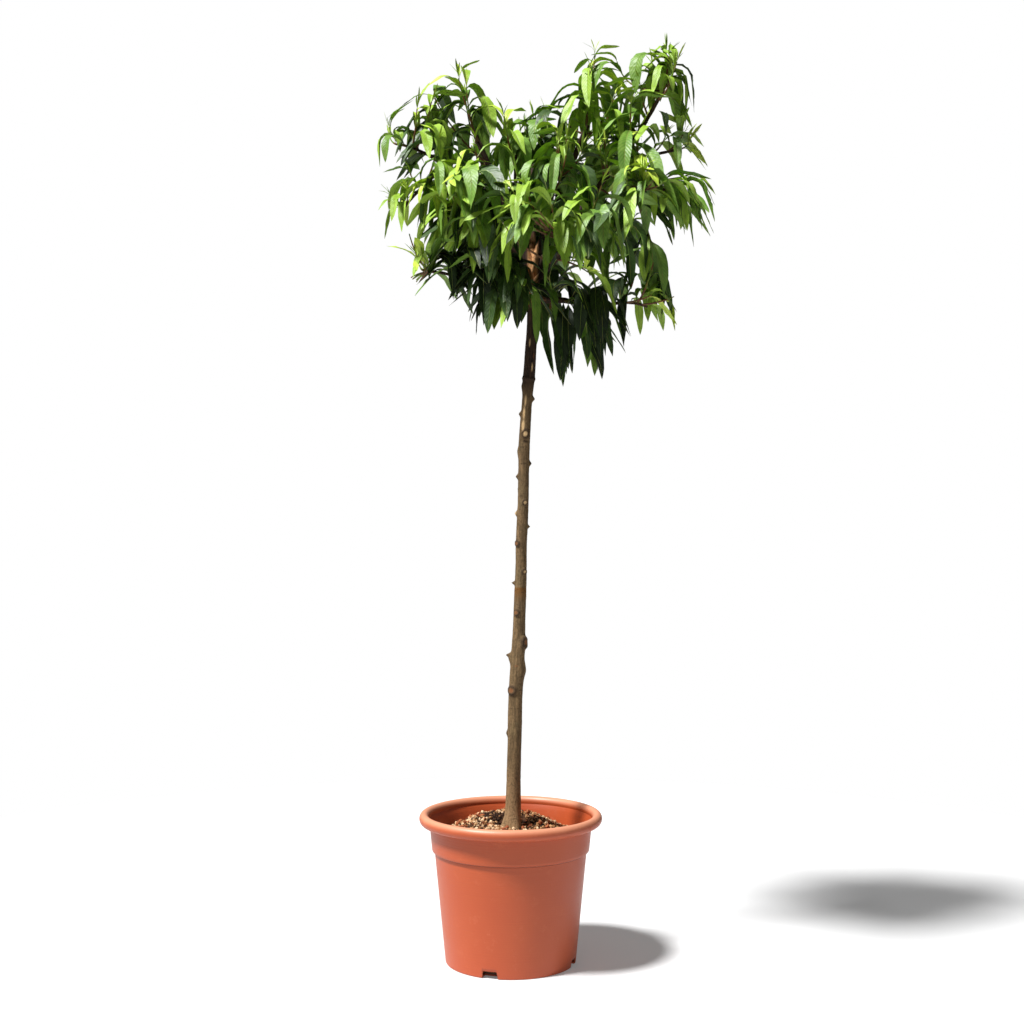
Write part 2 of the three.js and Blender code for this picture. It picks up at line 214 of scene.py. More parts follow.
# %% [markdown]
# ## The pot
#
# The pot is injection-moulded: a thin cone with a thicker collar near the top and a rim rolled
# outwards, so that it can be lifted. A turned shape like that is a profile spun about its axis.
# The profile below walks up the outside, round the roll, down the inside and along the floor, so
# the wall keeps its real thickness. Round stretches are arcs, worked out from their radius.

# %% The pot's profile
POT_HEIGHT = 0.277
POT_FOOT = 0.1215  # the cone's radius at the ground
POT_DRAFT = 0.0985  # how much the radius grows for each metre of height
POT_WALL = 0.003
POT_FLOOR = 0.004
FOOT_ROUND = 0.0032
SOLE_INSET = 0.012
COLLAR_FROM = 0.206
COLLAR_STEP = 0.0025
COLLAR_PROUD = 0.0046
RIM_INNER = 0.1525
RIM_OUTER = 0.1705
RIM_UNDER = 0.256
RIM_TURN = (-90, 200)  # the roll starts underneath and ends inside the pot
THROAT = 0.252
RIM_STEPS = 26
FOOT_STEPS = 6
WALL_RINGS = 12
COLLAR_RINGS = 5
WALL_RINGS_FROM = 0.02
COLLAR_RINGS_FROM = 0.214


def wall_radius(z):
    return POT_FOOT + POT_DRAFT * z


def inner_radius(z):
    collar = COLLAR_PROUD if z > COLLAR_FROM else 0
    return wall_radius(z) + collar - POT_WALL


def arc(radius, z, across, tall, start, end, steps):
    """Points on an upright ellipse, from a start angle to an end angle in degrees."""
    turns = [math.radians(start + (end - start) * i / steps) for i in range(steps + 1)]
    return [(radius + across * math.cos(t), z + tall * math.sin(t)) for t in turns]


def pot_profile():
    step_top = COLLAR_FROM + COLLAR_STEP
    soft = COLLAR_STEP / 4
    rim = arc((RIM_INNER + RIM_OUTER) / 2, (POT_HEIGHT + RIM_UNDER) / 2,
              (RIM_OUTER - RIM_INNER) / 2, (POT_HEIGHT - RIM_UNDER) / 2, *RIM_TURN, RIM_STEPS)
    foot_radius = wall_radius(FOOT_ROUND) - FOOT_ROUND
    wall_rings = np.linspace(WALL_RINGS_FROM, COLLAR_FROM - soft, WALL_RINGS)
    collar_rings = np.linspace(COLLAR_RINGS_FROM, RIM_UNDER - soft, COLLAR_RINGS)
    return [
        (0, 0),
        (foot_radius - SOLE_INSET, 0),
        *arc(foot_radius, FOOT_ROUND, FOOT_ROUND, FOOT_ROUND, -90, 0, FOOT_STEPS),
        *[(wall_radius(z), z) for z in wall_rings],
        (wall_radius(COLLAR_FROM), COLLAR_FROM),
        (wall_radius(step_top) + COLLAR_PROUD - soft, step_top - soft),
        (wall_radius(step_top) + COLLAR_PROUD, step_top + soft),
        *[(wall_radius(z) + COLLAR_PROUD, z) for z in collar_rings],
        *rim,
        (inner_radius(THROAT), THROAT),
        (inner_radius(step_top), step_top),
        (wall_radius(COLLAR_FROM - POT_WALL) - POT_WALL, COLLAR_FROM - POT_WALL),
        (wall_radius(POT_FLOOR) - POT_WALL, POT_FLOOR),
        (0, POT_FLOOR),
    ]


pot_line = pot_profile()
print("the pot's profile has", len(pot_line), "points")

# %% [markdown]
# A full turn of the profile makes the pot. At both ends it meets the axis, where a spin leaves many
# points in one place, so doubles are merged, and after that all faces are turned outwards.

# %% Spinning the profile
POT_STEPS = 144
TOUCHING = 1e-6


def spun(profile, steps):
    """A closed body of revolution about +Z."""
    bm = bmesh.new()
    line = [bm.verts.new((radius, 0, z)) for radius, z in profile]
    edges = [bm.edges.new(pair) for pair in zip(line, line[1:])]
    bmesh.ops.spin(bm, geom=line + edges, cent=(0, 0, 0), axis=(0, 0, 1),
                   angle=2 * math.pi, steps=steps, use_merge=True)
    bmesh.ops.remove_doubles(bm, verts=bm.verts, dist=TOUCHING)
    bmesh.ops.recalc_face_normals(bm, faces=bm.faces)
    return bm


pot_body = spun(pot_line, POT_STEPS)
print("pot profile spun:", len(pot_body.faces), "faces")

# %% [markdown]
# Four drain slots are notched through the foot of the wall and on into the floor plate. Each is a
# trapezoid prism, pushed in from outside and taken away with a Boolean modifier, as a moulder's core
# would leave it. The modifier is applied at once, so the piece that is handed over is one clean mesh.

# %% Drain slots
SLOT_COUNT = 4
SLOT_FIRST = -18  # the bearing of the slot that shows
SLOT_WIDTH_BELOW = 0.031
SLOT_WIDTH_ABOVE = 0.026
SLOT_HEIGHT = 0.0140
SLOT_DEPTH = 0.020
CORE_LENGTH = 0.034
CORE_BELOW = 0.001  # the core starts under the ground, so that the cut is clean
SHARP_FROM = 35


def slot_cores():
    bm = bmesh.new()
    for i in range(SLOT_COUNT):
        core = bmesh.ops.create_cube(bm, size=1)["verts"]
        for vert in core:
            width = SLOT_WIDTH_ABOVE if vert.co.z > 0 else SLOT_WIDTH_BELOW
            height = SLOT_HEIGHT if vert.co.z > 0 else -CORE_BELOW
            vert.co = (vert.co.x * width, vert.co.y * CORE_LENGTH, height)
        middle = SLOT_DEPTH - POT_FOOT - CORE_LENGTH / 2
        bmesh.ops.translate(bm, verts=core, vec=(0, middle, 0))
        turn = Matrix.Rotation(math.radians(SLOT_FIRST + 360 * i / SLOT_COUNT), 3, "Z")
        bmesh.ops.rotate(bm, verts=core, cent=(0, 0, 0), matrix=turn)
    return mesh_of(bm, "slot_cores", SHARP_FROM)


def notched(mesh, cores):
    """The mesh with the cores taken away."""
    whole = bpy.data.objects.new("whole", mesh)
    core = bpy.data.objects.new("core", cores)
    for thing in (whole, core):
        bpy.context.scene.collection.objects.link(thing)
    cut = whole.modifiers.new("slots", "BOOLEAN")
    cut.operation = "DIFFERENCE"
    cut.object = core
    seen = whole.evaluated_get(bpy.context.evaluated_depsgraph_get())
    result = bpy.data.meshes.new_from_object(seen)
    for thing in (whole, core):
        bpy.data.objects.remove(thing)
    return result


pot_mesh = notched(mesh_of(pot_body, "pot_shell", SHARP_FROM), slot_cores())
print("pot with its slots:", len(pot_mesh.polygons), "faces")

# %% [markdown]
# The plastic is dyed through in a terracotta colour, and the top of the rim is painted paler, a
# painted highlight. It is satin rather than glossy, slightly cloudy, and carries very fine rings left
# by the turned mould, which catch the light at a low angle. The rings are noise squeezed along the
# height, and they only bend the light, as they are far too fine to model. A thin line of painted
# shade sits in the corner under the collar. The painted highlight and the painted shade are laid over
# the dye between two heights.

# %% Moulded plastic
PAINTED_HIGHLIGHT_BAND = (0.2665, 0.279)
PAINTED_SHADE_FROM = (0.2040, 0.2062)
PAINTED_SHADE_TO = (0.2066, 0.2084)
DYES = (shade(171, 70, 32), shade(183, 84, 43))
PAINTED_HIGHLIGHT = shade(232, 168, 134)
DUST = shade(226, 150, 118)
PAINTED_SHADE = shade(92, 38, 20)
plastic = Finish("moulded_plastic", Specular_IOR_Level=0.45)
cloud = plastic.grain(scale=9, detail=4)
rings = plastic.grain(scale=14, detail=3, stretch=(0.6, 0.6, 26))
speckle = plastic.grain(scale=420, detail=2)
dust = plastic.ramp(plastic.grain(scale=38, detail=6, roughness=0.7), 0.56, 0.74)
height = plastic.place_along("Z")
colour = plastic.blend(cloud, *DYES)
# painted highlight: the top of the rim is painted paler
colour = plastic.blend(plastic.ramp(height + cloud * 0.004, *PAINTED_HIGHLIGHT_BAND) * 0.7, colour, PAINTED_HIGHLIGHT)
colour = plastic.blend(dust * 0.12, colour, DUST)
# painted shade: a dark line in the corner under the collar
painted_shade_line = plastic.band(height, PAINTED_SHADE_FROM, PAINTED_SHADE_TO)
plastic.paint(plastic.blend(painted_shade_line * 0.6, colour, PAINTED_SHADE), 0.36 + cloud * 0.16 + dust * 0.2)
plastic.bump(rings * 0.7 + speckle * 0.3, distance=0.0012, strength=0.35)
hand_over("pot_shell", pot_mesh, plastic, ["pot"])

# %% [markdown]
# ## The compost
#
# The tree was moved into this pot with its old root ball, which stands a little higher at the back
# and falls away to the wall. One function gives the compost's level at each place, and it later
# tells each stone how high it lies.

# %% The compost's level
WALL_LEVEL = 0.228
BALL_RISE = 0.033
BALL_CENTRE = (-0.006, 0.042)
BALL_RADIUS = 0.091
BALL_SPREAD = 1.45
TRUNK_FOOT = Vector((0.0024, 0, 0.247))
TRUNK_LEVEL = 0.2467
TRUNK_FLAT = 0.026
TRUNK_BLEND = 0.030


def smooth(share):
    share = min(max(share, 0), 1)
    return share * share * (3 - 2 * share)


def soil_level(x, y):
    away = math.dist((x, y), BALL_CENTRE) / BALL_RADIUS
    heap = WALL_LEVEL + BALL_RISE * smooth(BALL_SPREAD - away)
    from_trunk = math.dist((x, y), TRUNK_FOOT[:2]) - TRUNK_FLAT
    return TRUNK_LEVEL + (heap - TRUNK_LEVEL) * smooth(from_trunk / TRUNK_BLEND)


print("the compost's level is", WALL_LEVEL, "by the wall,", round(soil_level(*BALL_CENTRE), 3), "inside")

# %% [markdown]
# A closed body is spun that just clears the pot, its top a disc of rings. Each point of the top is
# then lifted to that level and made uneven by noise. The helper that adds up waves of noise serves
# the bark too.

# %% The compost's body
SOIL_GAP = 0.0003  # between the compost and the pot's wall
SOIL_FOOT = 0.018
SOIL_FOOT_INSET = 0.013
SOIL_STEPS = 120
SOIL_RINGS = 46
SOIL_WAVES = ((90, 90, 0.0016), (260, 260, 0.0009))
SOIL_SUNK = 0.0006
NEAR_TOP = 0.001


def uneven(place, waves):
    """Noise in waves, each with how often it rises along X and Y, how often along Z, and how high."""
    return sum(noise.noise(Vector((place.x * level, place.y * level, place.z * upright))) * height
               for level, upright, height in waves)


def soil_body():
    edge = inner_radius(WALL_LEVEL) - SOIL_GAP
    low = wall_radius(COLLAR_FROM - POT_WALL) - POT_WALL - SOIL_GAP
    bottom = POT_FLOOR + SOIL_GAP
    step_top = COLLAR_FROM + COLLAR_STEP
    profile = [
        (0, bottom),
        (wall_radius(bottom) - POT_WALL - SOIL_FOOT_INSET, bottom),
        (wall_radius(SOIL_FOOT) - POT_WALL - SOIL_GAP, SOIL_FOOT),
        (low, COLLAR_FROM - POT_WALL),
        (inner_radius(step_top) - SOIL_GAP, step_top + NEAR_TOP),
        *[(radius, WALL_LEVEL) for radius in np.linspace(edge, 0, SOIL_RINGS)],
    ]
    bm = spun(profile, SOIL_STEPS)
    for vert in bm.verts:
        if vert.co.z > WALL_LEVEL - NEAR_TOP:
            lumps = uneven(vert.co, SOIL_WAVES)
            vert.co.z = soil_level(vert.co.x, vert.co.y) + lumps - SOIL_SUNK
    return mesh_of(bm, "compost")


compost = Finish("compost", Roughness=0.95, Specular_IOR_Level=0.2)
crumb = compost.grain(scale=260, detail=6, roughness=0.7)
compost.paint(compost.blend(crumb, shade(38, 24, 16), shade(96, 62, 40)))
compost.bump(crumb, distance=0.003, strength=0.9)
hand_over("compost", soil_body(), compost, ["soil"])

# %% [markdown]
# Loose grit covers the compost: pale and tan stones, chips of orange-brown bark, and dark crumbs
# on a dark patch behind the trunk, where the other grit is thin. They are thousands of small things,
# so each is an icosahedron of twenty faces, stretched and dented by chance, and each kind is joined
# into one mesh. Chance is seeded, so the same stone lies in the same place each time.

# %% One stone, and many joined
DENTS = 0.28
STONE_WIDTH = (0.6, 0.95)  # beside a length of 1
THICKEST = 0.9
STONE_LIFT = (0.05, 0.42)


def joined(name, solids):
    """One mesh from many (points, faces) pairs."""
    starts = np.cumsum([0] + [len(points) for points, _ in solids])
    points = np.concatenate([points for points, _ in solids])
    faces = np.concatenate([faces + start for (_, faces), start in zip(solids, starts)])
    mesh = bpy.data.meshes.new(name)
    mesh.from_pydata(points.tolist(), [], faces.tolist())
    mesh.update()
    return mesh


def icosahedron():
    bm = bmesh.new()
    bmesh.ops.create_icosphere(bm, subdivisions=1, radius=1)
    points = np.array([vert.co for vert in bm.verts])
    faces = np.array([[vert.index for vert in face.verts] for face in bm.faces])
    bm.free()
    return points, faces


STONE_POINTS, STONE_FACES = icosahedron()


def turn_matrix(chance):
    axis = Vector([chance.uniform(-1, 1) for _ in range(3)]).normalized()
    return np.array(Matrix.Rotation(chance.uniform(0, math.tau), 3, axis))


def stone(chance, x, y, size, flatness):
    dents = 1 + DENTS * np.array([chance.uniform(-1, 1) for _ in STONE_POINTS])[:, None]
    stretch = np.array([1, chance.uniform(*STONE_WIDTH), chance.uniform(flatness, THICKEST)])
    points = STONE_POINTS * dents * stretch * size / 2
    points = points @ turn_matrix(chance).T
    lift = size * chance.uniform(*STONE_LIFT)
    return points + (x, y, soil_level(x, y) + lift), STONE_FACES


print("one stone has", len(STONE_FACES), "faces")

# %% [markdown]
# Each kind lies where a small function says how likely it is: the pale stones are heaped at the left,
# tan ones and chips lie everywhere but on the bare patch, and crumbs lie most of all on it. A place
# is drawn evenly over the disc, which takes the square root of chance as its distance, and kept or
# dropped by that likelihood. There are many small stones and few large ones.

# %% Loose grit
GRIT_SEED = 41
WALL_CLEAR = 0.006
TRUNK_CLEAR = 0.019
PATCH_CENTRE = (-0.024, 0.045)
PATCH_RADIUS = 0.026
PATCH_WIDER = 1.15
PATCH_EDGE = 1.6
HEAP_MIDDLE = 0.5
HEAP_EDGE = 0.05
LEAST_AT_RIGHT = 0.35
THINNED_ON_PATCH = 0.9
LEAST_OFF_PATCH = 0.25


def in_dark_patch(x, y):
    """1 in the dark patch behind the trunk's left side, 0 on the grit."""
    away = math.dist((x / PATCH_WIDER, y), PATCH_CENTRE) / PATCH_RADIUS
    return smooth(PATCH_EDGE - away)


def scatter(seed, count, small, large, flatness, wanted):
    chance = random.Random(seed)
    stones = []
    while len(stones) < count:
        radius = (inner_radius(WALL_LEVEL) - WALL_CLEAR) * math.sqrt(chance.random())
        turn = chance.uniform(0, math.tau)
        x, y = radius * math.cos(turn), radius * math.sin(turn)
        near_trunk = math.dist((x, y), TRUNK_FOOT[:2]) < TRUNK_CLEAR
        size = small + (large - small) * chance.random() ** 2
        if not near_trunk and chance.random() < wanted(x, y):
            stones.append(stone(chance, x, y, size, flatness))
    return stones


def left_heap(x, y):
    at_left = smooth(HEAP_MIDDLE - x / HEAP_EDGE)
    return (1 - in_dark_patch(x, y)) * (LEAST_AT_RIGHT + (1 - LEAST_AT_RIGHT) * at_left)


def everywhere(x, y):
    return 1 - THINNED_ON_PATCH * in_dark_patch(x, y)


def bare_patch(x, y):
    return LEAST_OFF_PATCH + (1 - LEAST_OFF_PATCH) * in_dark_patch(x, y)


GRIT = {
    # how many, smallest, largest, thinnest, where, and the colours of its dark and light spots
    "grit_pale": (620, 0.0035, 0.0105, 0.5, left_heap, shade(204, 164, 124), shade(232, 198, 158)),
    "grit_tan": (1050, 0.0035, 0.0095, 0.5, everywhere, shade(146, 102, 62), shade(186, 142, 98)),
    "bark_chips": (460, 0.0045, 0.0130, 0.3, everywhere, shade(116, 58, 32), shade(172, 98, 60)),
    "crumbs": (1700, 0.002, 0.0065, 0.5, bare_patch, shade(34, 22, 15), shade(74, 46, 30)),
}
for order, (name, row) in enumerate(GRIT.items()):
    count, small, large, flatness, wanted, dark, light = row
    stones = Finish(name, Roughness=0.85, Specular_IOR_Level=0.3)
    mottle = stones.grain(scale=150, detail=4)
    stones.paint(stones.blend(stones.ramp(mottle, 0.35, 0.65), dark, light))
    stones.bump(stones.grain(scale=900), distance=0.0004, strength=0.6)
    heap = scatter(GRIT_SEED + order, count, small, large, flatness, wanted)
    hand_over(name, joined(name, heap), stones, [])

# %% [markdown]
# ## The trunk
#
# The trunk is slim, leans a little to the right and bows gently. It is one tapering limb through a
# list of stations, and a running average rounds the corners at the stations.

# %% The trunk's route
TRUNK_STATIONS = np.array([
    # height, lean to +X, bow to +Y, radius
    (0.247, 0.0024, 0.0000, 0.0195), (0.262, 0.0036, 0.0000, 0.0162),
    (0.282, 0.0046, 0.0005, 0.0142), (0.346, 0.0060, 0.0010, 0.0132),
    (0.486, 0.0088, 0.0020, 0.0134), (0.598, 0.0146, 0.0040, 0.0121),
    (0.673, 0.0174, 0.0050, 0.0111), (0.762, 0.0198, 0.0060, 0.0106),
    (0.859, 0.0232, 0.0050, 0.0103), (0.968, 0.0254, 0.0030, 0.0106),
    (1.046, 0.0304, 0.0010, 0.0097), (1.092, 0.0340, 0.0000, 0.0112),
    (1.168, 0.0394, 0.0000, 0.0102), (1.233, 0.0420, 0.0000, 0.0100),
    (1.304, 0.0398, 0.0000, 0.0096),
])
TRUNK_ALONG = 520
EASE_OVER = 19  # rings, which eases about 40 mm of the trunk


def eased(column, heights):
    """A station column at these heights, with the corners at the stations eased."""
    exact = np.interp(heights, TRUNK_STATIONS[:, 0], TRUNK_STATIONS[:, column])
    padded = np.pad(exact, EASE_OVER // 2, mode="edge")
    return np.convolve(padded, np.ones(EASE_OVER) / EASE_OVER, mode="valid")


def trunk_route():
    heights = np.linspace(TRUNK_STATIONS[0, 0], TRUNK_STATIONS[-1, 0], TRUNK_ALONG + 1)
    centres = np.column_stack([eased(1, heights), eased(2, heights), heights])
    return centres, eased(3, heights)


print("the trunk's route has", TRUNK_ALONG + 1, "centres")

# %% [markdown]
# A limb's skin is a grid of faces rolled into a tube: one side of the grid runs up the limb and the
# other round it. Each point then moves outwards by the bark's relief at that place.

# %% A grid rolled into a tube
SIDEWAYS = 0.8  # a limb that sets out along X by more than this is guided by Y
SEAM = 1e-7


def rings_along(centres):
    """Two directions across the limb at each centre: +X's side of it, and its far side."""
    along = np.gradient(centres, axis=0)
    along /= np.linalg.norm(along, axis=1)[:, None]
    guide = np.array([1.0, 0, 0])
    if abs(along[0] @ guide) > SIDEWAYS:
        guide = np.array([0, 1.0, 0])
    right = guide - along * (along @ guide)[:, None]
    right /= np.linalg.norm(right, axis=1)[:, None]
    return right, np.cross(along, right)


def rolled(bm, centres, radii, around, relief):
    """Adds a grid rolled into a tube round the centres, lifted by a relief, and closes its seam."""
    right, far = rings_along(centres)
    rings = len(centres) - 1
    grid = bmesh.ops.create_grid(bm, x_segments=around, y_segments=rings, size=0.5)["verts"]
    for vert in grid:
        ring = round((vert.co.y + 0.5) * rings)
        turn = (vert.co.x + 0.5) * math.tau
        out = Vector(right[ring] * math.sin(turn) - far[ring] * math.cos(turn))
        centre = Vector(centres[ring])
        vert.co = centre + out * radii[ring]
        vert.co += out * relief(vert, ring, turn)
    bmesh.ops.remove_doubles(bm, verts=grid, dist=SEAM)


print("at its foot the trunk's right side looks along", rings_along(trunk_route()[0])[0][0].round(3))

# %% [markdown]
# What makes this trunk its own are its knots: dormant spurs, stubs, healed branch scars and, near
# the top, a pale oval cut, and the thicker ring where the peach was grafted onto its rootstock. Above
# the cut, pale and rust stains are painted streaks of sunlight, and a dark stain in a dip just under
# it is a painted shadow. A knob is a plain dome, a stain is nearly flat, and a scar is a dome in
# a raised, dark rim, where bark has grown round the cut. Each mark has a height, a bearing (0 faces
# the picture, 90 is the right side), a width and height, how proud it stands, and what colour shows
# there. A float attribute carries each colour to the shader.

# %% Knots, scars and cuts
KNOB, SCAR, STAIN = "knob", "scar", "stain"
MARKS = [
    # kind, height, bearing, width, height of the mark, proud, colour
    (KNOB, 0.424, -88, 0.0050, 0.0060, 0.0030, "dark"),
    (SCAR, 0.504, -36, 0.0085, 0.0085, 0.0042, "rust"),
    (KNOB, 0.542, 84, 0.0110, 0.0160, 0.0036, None),
    (STAIN, 0.550, -8, 0.0050, 0.0016, 0.0000, "rust"),
    (KNOB, 0.563, -86, 0.0060, 0.0100, 0.0044, None),
    (KNOB, 0.569, -92, 0.0034, 0.0040, 0.0070, "dark"),
    (SCAR, 0.594, 62, 0.0085, 0.0105, 0.0062, "rust"),
    (KNOB, 0.583, 52, 0.0090, 0.0160, 0.0018, None),
    (SCAR, 0.649, -30, 0.0058, 0.0064, 0.0038, "rust"),
    (KNOB, 0.704, -90, 0.0028, 0.0032, 0.0062, "dark"),
    (SCAR, 0.7257, 36, 0.0052, 0.0052, 0.0036, "pale"),
    (SCAR, 0.778, -48, 0.0052, 0.0056, 0.0038, "rust"),
    (KNOB, 0.810, 88, 0.0026, 0.0032, 0.0044, "dark"),
    (KNOB, 0.834, -88, 0.0040, 0.0056, 0.0046, "pale"),
    (SCAR, 0.855, 20, 0.0050, 0.0054, 0.0038, "pale"),
    (KNOB, 0.903, -84, 0.0042, 0.0052, 0.0046, "dark"),
    (KNOB, 0.928, 88, 0.0044, 0.0050, 0.0044, "dark"),
    (KNOB, 0.949, -88, 0.0080, 0.0110, 0.0022, None),
    (SCAR, 0.983, 4, 0.0062, 0.0088, 0.0034, "pale"),
    # painted shadow: the dark stain in the dip under the pale cut
    (STAIN, 0.969, 6, 0.0070, 0.0034, -0.0012, "dark"),
    # painted sunlight: the pale and rust stains from here up are painted streaks of sun on the bark
    (STAIN, 0.999, -24, 0.0042, 0.0150, 0.0004, "pale"),
    (STAIN, 1.021, -24, 0.0034, 0.0170, 0.0004, "pale"),
    (STAIN, 1.044, -16, 0.0024, 0.0150, 0.0003, "pale"),
    (KNOB, 1.0195, -86, 0.0040, 0.0050, 0.0042, "dark"),
    (KNOB, 1.049, 86, 0.0048, 0.0054, 0.0048, "dark"),
    (KNOB, 1.071, -88, 0.0080, 0.0100, 0.0020, None),
    (STAIN, 1.107, 26, 0.0020, 0.0120, 0.0003, "pale"),
    (STAIN, 1.128, 36, 0.0018, 0.0080, 0.0003, "rust"),
    (STAIN, 1.152, -16, 0.0022, 0.0110, 0.0004, "pale"),
    (KNOB, 0.640, 150, 0.0060, 0.0080, 0.0040, None),
    (SCAR, 0.745, 172, 0.0056, 0.0060, 0.0038, "rust"),
    (KNOB, 0.470, 140, 0.0052, 0.0060, 0.0032, "dark"),
    (SCAR, 0.880, -150, 0.0052, 0.0056, 0.0036, "dark"),
    (KNOB, 0.985, 160, 0.0046, 0.0050, 0.0042, "dark"),
]
print(len(MARKS), "marks on the trunk")

# %% [markdown]
# The shape of a mark is worked out from how far a place is from its middle, counted in the mark's
# own size: 0 in the middle, 1 at its edge. A dome falls off like a bell, and a scar's rim is a
# narrower bell round its edge.

# %% The shape of a mark
MARK_REACH = 2  # beyond this a mark is too faint to reckon with
DOME_FALL = 1.4
SCAR_DOME = 0.62
SCAR_RIM = 0.5
RIM_AT = 0.85
RIM_WIDTH = 0.34
KNOB_COLOUR = 0.75
CORE_FADE = (1.5, 1.6)  # the colour's share in a mark's middle, and how fast it fades outwards
SCAR_FADE = (2.1, 3.4)


def mark_here(mark, height, turn, radius):
    """How far the mark lifts the bark here, how much of its colour shows, and how dark its rim is."""
    kind, at, bearing, width, tall, proud, _ = mark
    up = (height - at) / tall
    if abs(up) > MARK_REACH:
        return 0, 0, 0
    aside = math.remainder(turn - math.radians(bearing), math.tau) * radius / width
    away = math.hypot(up, aside)
    dome = math.exp(-DOME_FALL * away * away)
    if kind == SCAR:
        rim = math.exp(-((away - RIM_AT) / RIM_WIDTH) ** 2)
        return proud * (SCAR_DOME * dome + SCAR_RIM * rim), smooth(SCAR_FADE[0] - SCAR_FADE[1] * away), rim
    core = smooth(CORE_FADE[0] - CORE_FADE[1] * away)
    return proud * dome, core if kind == STAIN else core * KNOB_COLOUR, 0


print("a mark lifts the bark up to", MARK_REACH, "times its size above and below its middle")

# %% [markdown]
# The bark between the marks has long low ridges and a cross grain. A ring stands out where the peach
# was grafted, and at the foot three lobes swell where the roots set out. While the grid is rolled,
# each mark also writes how much of its colour shows into an attribute.

# %% The relief of the bark
TRUNK_AROUND = 48
COLOUR_MARKS = ("pale", "dark", "rust")
BARK_WAVES = ((70, 16, 0.0012), (420, 120, 0.00028))
GRAFT_HEIGHT = 1.086
GRAFT_HALF = 0.0035
GRAFT_PROUD = 0.0016
ROOTS = 3
ROOTS_TURNED = 4.71
ROOTS_PROUD = 0.0034
ROOTS_FADE = 0.016
BARK_SHARP = 60


def bark_relief(height, turn, place):
    """Ridges and grain, the swell of the roots at the foot, and the ring of the graft."""
    foot = math.exp(-(height - TRUNK_FOOT.z) / ROOTS_FADE)
    lobes = ROOTS_PROUD * foot * math.cos(ROOTS * turn + ROOTS_TURNED)
    graft = GRAFT_PROUD * math.exp(-((height - GRAFT_HEIGHT) / GRAFT_HALF) ** 2)
    return uneven(place, BARK_WAVES) + lobes + graft


def trunk_mesh():
    bm = bmesh.new()
    layers = {name: bm.verts.layers.float.new(name) for name in COLOUR_MARKS}
    centres, radii = trunk_route()

    def relief(vert, ring, turn):
        height, radius = centres[ring, 2], radii[ring]
        lift = bark_relief(height, turn, vert.co)
        for mark in MARKS:
            mark_lift, colour, rim = mark_here(mark, height, turn, radius)
            lift += mark_lift
            vert[layers["dark"]] = max(vert[layers["dark"]], rim)
            if mark[-1]:
                vert[layers[mark[-1]]] = max(vert[layers[mark[-1]]], colour)
        return lift

    rolled(bm, centres, radii, TRUNK_AROUND, relief)
    bmesh.ops.holes_fill(bm, edges=bm.edges, sides=0)
    bmesh.ops.recalc_face_normals(bm, faces=bm.faces)
    return mesh_of(bm, "trunk_bark", BARK_SHARP)


trunk_skin = trunk_mesh()
print("the trunk has", len(trunk_skin.polygons), "faces")

# %% [markdown]
# Bark is never one brown. Below the graft it is a weathered grey-brown with olive patches and small
# dark blotches. It is paler at the foot, and a brown stain rings it a little below the middle. Noise
# breaks everything up. Each line below lays one colour over what the lines before it made.

# %% The old bark below the graft
FOOT_BAND = (0.262, 0.400)
STAIN_FROM = (0.664, 0.694)
STAIN_TO = (0.694, 0.698)
WEATHERED = (shade(94, 75, 50), shade(133, 108, 76))
OLIVE = shade(114, 100, 70)
PALE_FOOT = shade(162, 130, 94)
BLOTCH = shade(74, 60, 38)
STAIN_BROWN = shade(112, 74, 30)


def old_bark(bark, height, streaks, patches):
    skin = bark.blend(streaks, *WEATHERED)
    skin = bark.blend(bark.ramp(patches, 0.5, 0.72) * 0.5, skin, OLIVE)
    skin = bark.blend((1 - bark.ramp(height, *FOOT_BAND)) * 0.85, skin, PALE_FOOT)
    mottle = bark.ramp(bark.grain(scale=330, detail=4, stretch=(1, 1, 0.6)), 0.50, 0.60)
    skin = bark.blend(mottle * 0.45, skin, BLOTCH)
    return bark.blend(bark.band(height, STAIN_FROM, STAIN_TO) * 0.9, skin, STAIN_BROWN)


print("the stain rings the trunk from", STAIN_FROM[0], "to", STAIN_TO[1], "metres")

# %% [markdown]
# Above the graft the younger bark is purple-brown, and it is painted darker still as shade under the
# crown. At the first fork a painted patch of sunlight turns it orange-brown. The height decides
# between those. Short dark lenticels lie across all of it, and the marks' attributes lay dark rims,
# rust and pale wood over the rest, with the painted sunlit streaks and the painted shadow under the cut.

# %% Bark
GRAFT_BAND = (1.045, 1.096)
PAINTED_SUN_BAND = (1.225, 1.260)
BOUGH_BAND = (1.345, 1.370)
PAINTED_SUN_REACH = (0.007, 0.012)
TRUNK_FORK = np.array([0.041, -0.006, 1.300])
PURPLE_BROWN_AND_PAINTED_SHADE = (shade(38, 27, 21), shade(78, 58, 44))
PAINTED_SUNLIT_BARK = (shade(152, 108, 68), shade(210, 160, 110))
LENTICEL = shade(62, 46, 32)
# the pale and dark coats also paint the sunlit streaks and the shadow under the cut
MARK_COATS = {
    # how much of a mark's colour shows, and the colour
    "dark": (0.8, shade(48, 32, 24)),
    "rust": (0.8, shade(138, 88, 54)),
    "pale": (1.0, shade(222, 186, 136)),
}


